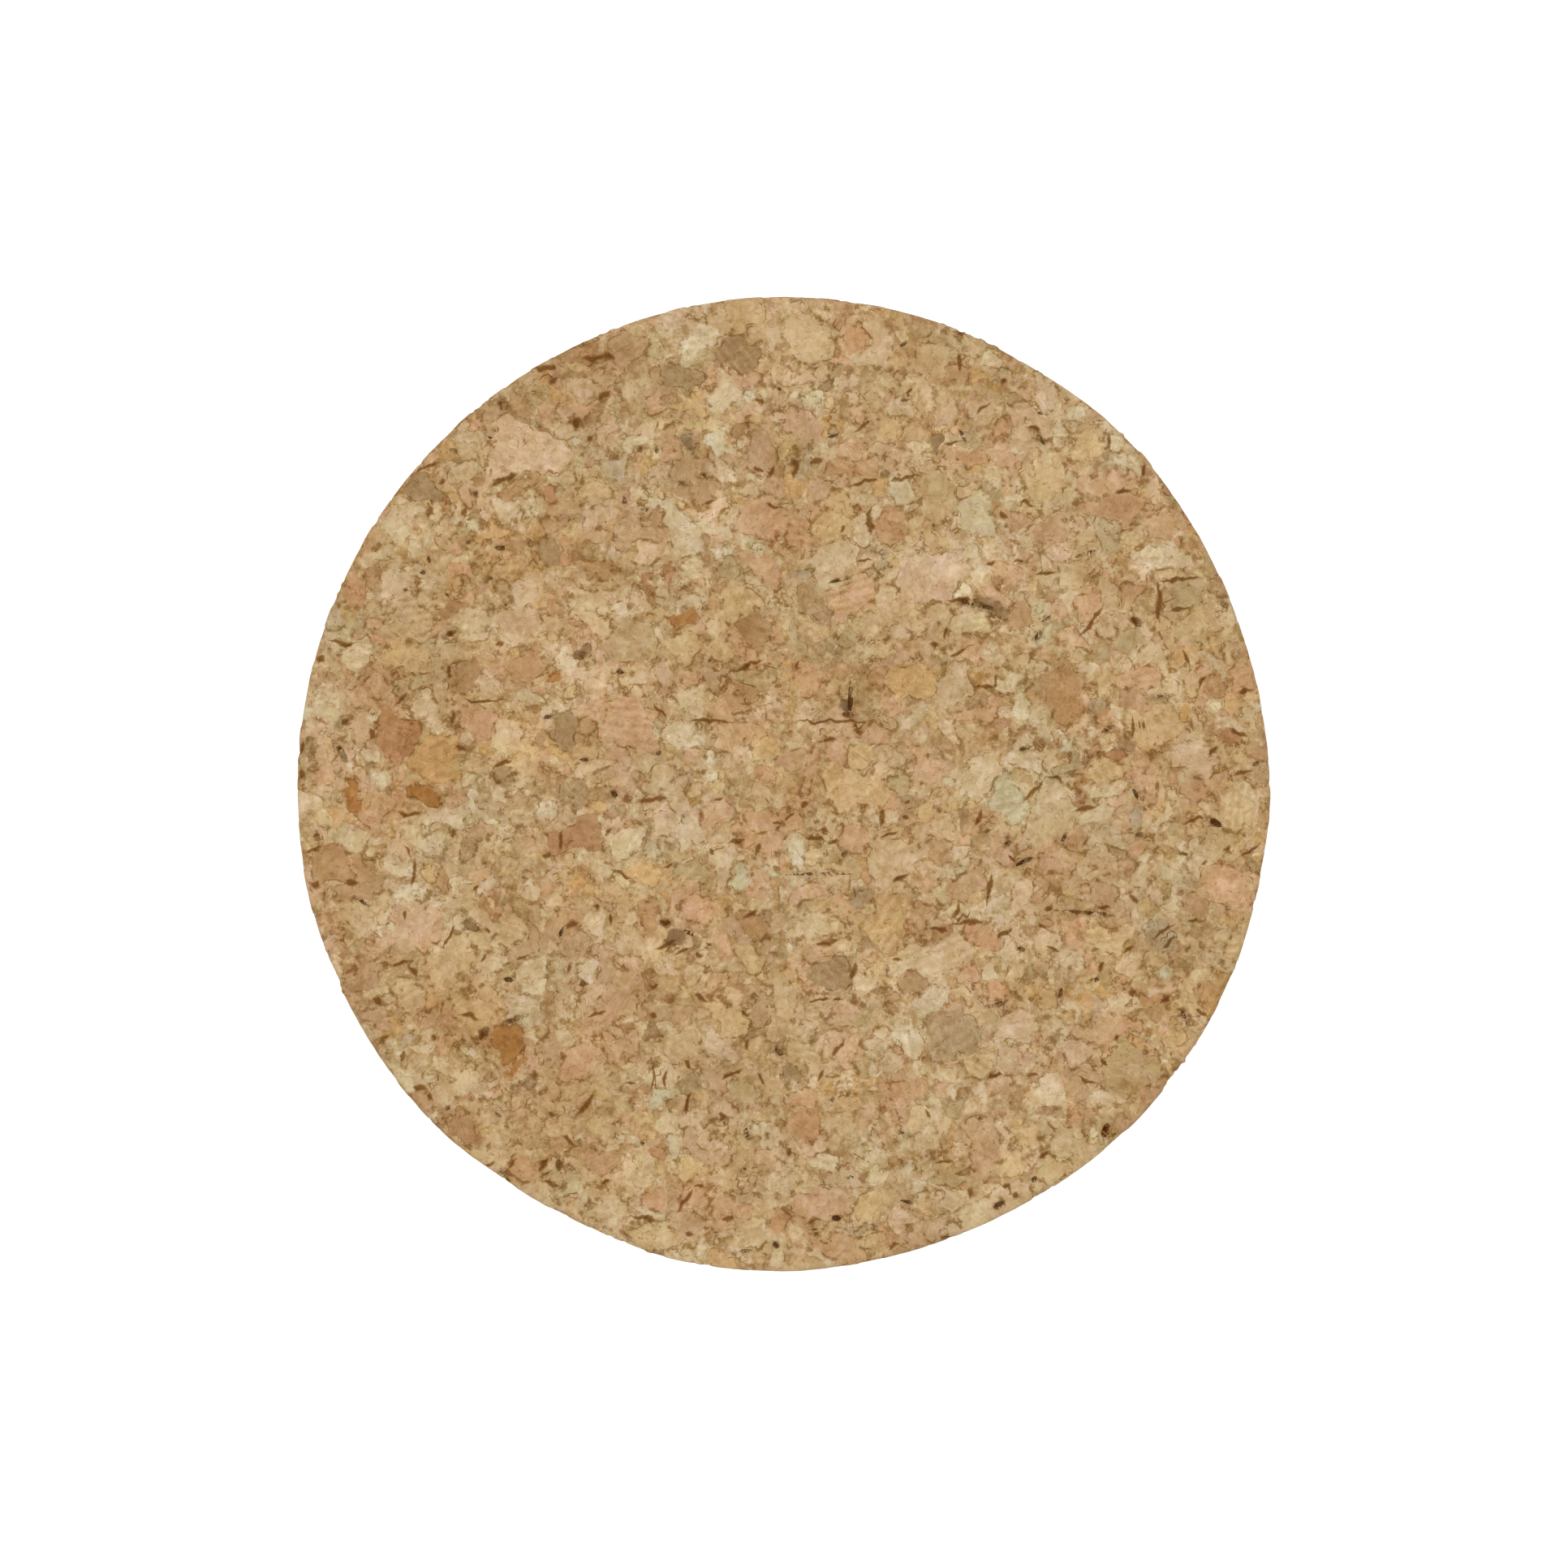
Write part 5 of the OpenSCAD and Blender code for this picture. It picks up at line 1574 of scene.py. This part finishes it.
def joint_lines(f, place_mm, pushed, joint, loose, patch, crumple):
    """The lines' strength: 1 less the joint distance over a width that varies, times a
    noise that breaks it up, or the wrinkles where they are stronger. The joint lines are
    partly painted shade in the crevices."""
    width = f.stretch(patch, 0.35, 0.7, *LINE_WIDTHS)
    line = f.math("SUBTRACT", 1.0, f.stretch(f.math("DIVIDE", joint, width), 0.1, 1.0))
    line = f.math("MULTIPLY", line, f.stretch(f.noise(place_mm, "breaks"), 0.41, 0.62))
    line = f.math("MULTIPLY", line, f.math("MULTIPLY_ADD", loose, -LOOSE_FADE, 1.0))
    from_middle = f.math("ABSOLUTE", f.math("SUBTRACT", f.noise(pushed, "wrinkle"), 0.5))
    wrinkle = f.stretch(from_middle, WRINKLE_FROM, WRINKLE_TO, 1.0, 0.0)
    shown = f.stretch(crumple, 0.42, 0.60, 0.0, WRINKLE_STRENGTH)
    wrinkle = f.math("MULTIPLY", wrinkle, shown)
    return f.math("MAXIMUM", line, wrinkle)


# %% [markdown]
# ## The edges of the granules
#
# The planes that cut the granules out are too clean. A noise gnaws each edge, here
# by a lot and there not at all, and crumb shows in the bites. Where the block is
# worn the granules' tones also run a little into each other.

# %% Gnawed edges and worn tones
GNAW_DEPTH = 0.18
GNAW_LEAST = 0.03
GNAW_SOFT = 0.02
CRUMB_IN_BITES = 0.7
WORN = (0.15, 0.95)


def gnawed_edges(f, pushed, joint):
    """Depth of the bites in mm, and a mask that is 1 where a bite reaches further in from
    the joint than the point lies."""
    bite = f.stretch(f.noise(pushed, "gnaw"), 0.47, 0.68, 0.0, GNAW_DEPTH)
    mask = f.stretch(f.math("SUBTRACT", joint, bite), -GNAW_SOFT, GNAW_SOFT, 1.0, 0.0)
    return bite, f.math("MULTIPLY", mask, f.math("GREATER_THAN", bite, GNAW_LEAST))


def granule_tones(f, patch, bitten, crumb_tone):
    """The granule's own tone, mixed with its surroundings by a noise, and with crumb in
    the bites."""
    worn = f.stretch(patch, 0.38, 0.62, *WORN)
    tone = f.mix(worn, f.attribute("tone", "Color"), f.attribute("soft_tone", "Color"))
    return f.mix(f.math("MULTIPLY", bitten, CRUMB_IN_BITES), tone, crumb_tone)


# %% [markdown]
# ## Painted shade and flecks
#
# These go on last. The cracks get a painted shade along the strokes that the mesh
# stores. Blots of painted shade lie along some joints, and small brown flecks lie
# anywhere. The walls of the pores darken with their depth, partly the brown of torn
# cork and partly painted shade.

# %% Painted shade of cracks, joints and pores, and flecks
# Painted shade of the cracks, in warm brown
CRACK_SHADE_BROWN = (124, 74, 28)
CRACK_SHADE = 0.60
CRACK_SHADE_PAINT = 0.4
CRACK_TORN = 1.4
# Depth of the painted shade in blots along the joints
JOINT_SHADE_DEPTH = 0.22
FLECK_BROWN = (116, 72, 30)
FLECK_PAINT = 0.40
# Pore walls: partly the brown of torn cork, partly painted shade that deepens with depth
PORE_SHADE_BROWN = (132, 76, 24)
PORE_SHADE_PAINT = 0.9


def with_crack_shade(f, colour, crumple):
    """Colour with the painted shade of the cracks, in warm brown. Their strength is the
    stored one less half of the distance across, plus a noise that tears their edges."""
    across = f.math("ABSOLUTE", f.attribute("crack_across"))
    crack = f.math("MULTIPLY_ADD", across, -0.5, f.attribute("crack_strength"))
    crack = f.stretch(f.math("ADD", crack, centred(f, crumple, CRACK_TORN)), 0.0, 0.8)
    colour = darkened(f, colour, crack, CRACK_SHADE)
    return painted(f, colour, f.math("MULTIPLY", crack, CRACK_SHADE_PAINT), CRACK_SHADE_BROWN)


def with_joint_shade(f, pushed, colour, joint):
    """Colour with blots of painted shade along the joints, where a noise is high and a joint is
    near.
    """
    shade_blots = f.stretch(f.noise(pushed, "shade_blots"), 0.61, 0.72)
    near_joint = f.math("SUBTRACT", 1.0, f.stretch(joint, 0.15, 0.55))
    return darkened(f, colour, f.math("MULTIPLY", shade_blots, near_joint), JOINT_SHADE_DEPTH)


# %% [markdown]
# ## All layers together
#
# The layers go on in the order in which they were told: tones, light and dark,
# joint lines, painted shade and flecks. The same masks also give a very low relief,
# so that lines and flecks catch the light. Cork is dull all over, and dullest in the
# pores.

# %% Pressed cork
SHADE_RELIEF = 0.4
LINE_RELIEF = -0.6
FLECK_RELIEF = -0.25
BUMP_STRENGTH = 0.35
BUMP_HEIGHT = 0.08
ROUGHNESS = (0.82, 0.95)
GLOSS = 0.12


def pressed_cork():
    """The finish of the whole stopper."""
    f = Finish("pressed_cork")
    place_mm = scaled(f, f.node("ShaderNodeTexCoord").outputs["Object"], 1 / MM)
    pushed = push_about(f, place_mm, "broad push", 0.7)
    pushed = push_about(f, pushed, "fine push", 0.22)
    patch = f.noise(place_mm, "patch")
    crumple = f.noise(pushed, "crumple")
    joint, loose = f.attribute("joint"), f.attribute("loose")

    crumb_tone, crumb_joint, crumb_colour, fine_pick, crumb_pick = crumb_layer(f, pushed)
    bite, bitten = gnawed_edges(f, pushed, joint)
    tone = f.mix(loose, granule_tones(f, patch, bitten, crumb_tone), crumb_tone)
    turn = scaled(f, f.mix(loose, f.attribute("turn", "Vector"), crumb_colour), 2 * math.pi)
    shade, tint, mottle = shade_layer(f, place_mm, turn, crumple, fine_pick, crumb_pick)
    colour = shaded(f, f.mix(1.0, tone, tint, "MULTIPLY"), shade)

    joint = f.math("ABSOLUTE", f.math("SUBTRACT", joint, bite))
    crumb_joint = f.math("ADD", crumb_joint, f.math("MULTIPLY_ADD", loose, -FAR, FAR))
    joint = f.math("MINIMUM", joint, crumb_joint)
    line = joint_lines(f, place_mm, pushed, joint, loose, patch, crumple)
    # Joint lines: partly glue and torn cells, partly painted shade in the crevices
    colour = darkened(f, colour, line, LINE_STRENGTH)
    # Painted shade in the cracks
    colour = with_crack_shade(f, colour, crumple)
    # Painted shade in blots along the joints
    colour = with_joint_shade(f, pushed, colour, joint)
    fleck = f.stretch(f.noise(pushed, "fleck"), 0.67, 0.75)
    colour = painted(f, colour, f.math("MULTIPLY", fleck, FLECK_PAINT), FLECK_BROWN)
    # The pore walls darken with depth: partly the brown of torn cork, partly painted shade
    sunk = f.stretch(f.attribute("sunk"), 0.02, 0.35)
    colour = painted(f, colour, f.math("MULTIPLY", sunk, PORE_SHADE_PAINT), PORE_SHADE_BROWN)

    height = f.math("MULTIPLY", shade, SHADE_RELIEF)
    height = f.math("MULTIPLY_ADD", line, LINE_RELIEF, height)
    height = f.math("MULTIPLY_ADD", fleck, FLECK_RELIEF, height)
    bump = {"Height": height, "Strength": BUMP_STRENGTH, "Distance": BUMP_HEIGHT * MM}
    sockets = {
        "Base Color": colour,
        "Roughness": f.stretch(mottle, 0.3, 0.7, *ROUGHNESS),
        "Normal": f.node("ShaderNodeBump", bump).outputs["Normal"],
        "Specular IOR Level": f.math("MULTIPLY_ADD", sunk, -GLOSS, GLOSS),
    }
    return f.shown(sockets)


skin.data.materials.append(pressed_cork())
print(len(skin.data.materials[0].node_tree.nodes), "nodes in the finish of the stopper")

# %% [markdown]
# ## Floor, light and camera
#
# A plain pale floor, a white sky and one broad lamp overhead: soft light from
# everywhere, which is how a catalogue shows a small part. The floor glows slightly
# of itself, as a light table does, so that it stays white round the stopper.

# %% Floor
FLOOR_HALF = 3000.0
floor_mesh = bpy.data.meshes.new("floor")
corner = FLOOR_HALF * MM
corners = [(-corner, -corner, 0), (corner, -corner, 0), (corner, corner, 0), (-corner, corner, 0)]
floor_mesh.from_pydata(corners, [], [(0, 1, 2, 3)])
floor = bpy.data.objects.new("floor", floor_mesh)
bpy.context.collection.objects.link(floor)
paper = {
    "Base Color": (0.93, 0.93, 0.93, 1),
    "Roughness": 0.9,
    "Specular IOR Level": 0.1,
    "Emission Color": (1, 1, 1, 1),
    "Emission Strength": 0.28,
}
floor_mesh.materials.append(Finish("paper").shown(paper))
print(f"floor {2 * FLOOR_HALF * MM:.0f} m square")

# %% Light
SKY_STRENGTH = 0.62
world = bpy.data.worlds.new("studio")
world.use_nodes = True
sky = world.node_tree.nodes["Background"]
sky.inputs["Color"].default_value = (1, 1, 1, 1)
sky.inputs["Strength"].default_value = SKY_STRENGTH
bpy.context.scene.world = world


def softbox(name, at, size, watts):
    """A square area lamp that looks at the middle of the stopper."""
    data = bpy.data.lights.new(name, "AREA")
    data.energy = watts
    data.size = size
    lamp = bpy.data.objects.new(name, data)
    bpy.context.collection.objects.link(lamp)
    lamp.location = at
    lamp.rotation_euler = (-lamp.location).to_track_quat("-Z", "Y").to_euler()
    return lamp


softbox("overhead", at=(-0.06, 0.10, 0.75), size=0.9, watts=5.0)
scene = bpy.context.scene
scene.view_settings.view_transform = "Standard"
scene.view_settings.look = "None"
print(len(bpy.data.lights), "lamp and a white sky")

# %% Camera
LENS = 100.0
SENSOR = 36.0
FACE_SHARE = 0.624
SHIFT = (0.03, 0.01)
frame_width = TOP_D / FACE_SHARE
distance = frame_width * LENS / SENSOR
camera_data = bpy.data.cameras.new("camera")
camera_data.lens = LENS
camera_data.sensor_width = SENSOR
camera_data.clip_start = 0.01
camera = bpy.data.objects.new("camera", camera_data)
bpy.context.collection.objects.link(camera)
camera.location = (SHIFT[0] * MM, SHIFT[1] * MM, (HEIGHT + distance) * MM)
scene.camera = camera
print(f"camera {distance:.0f} mm above the wide end")
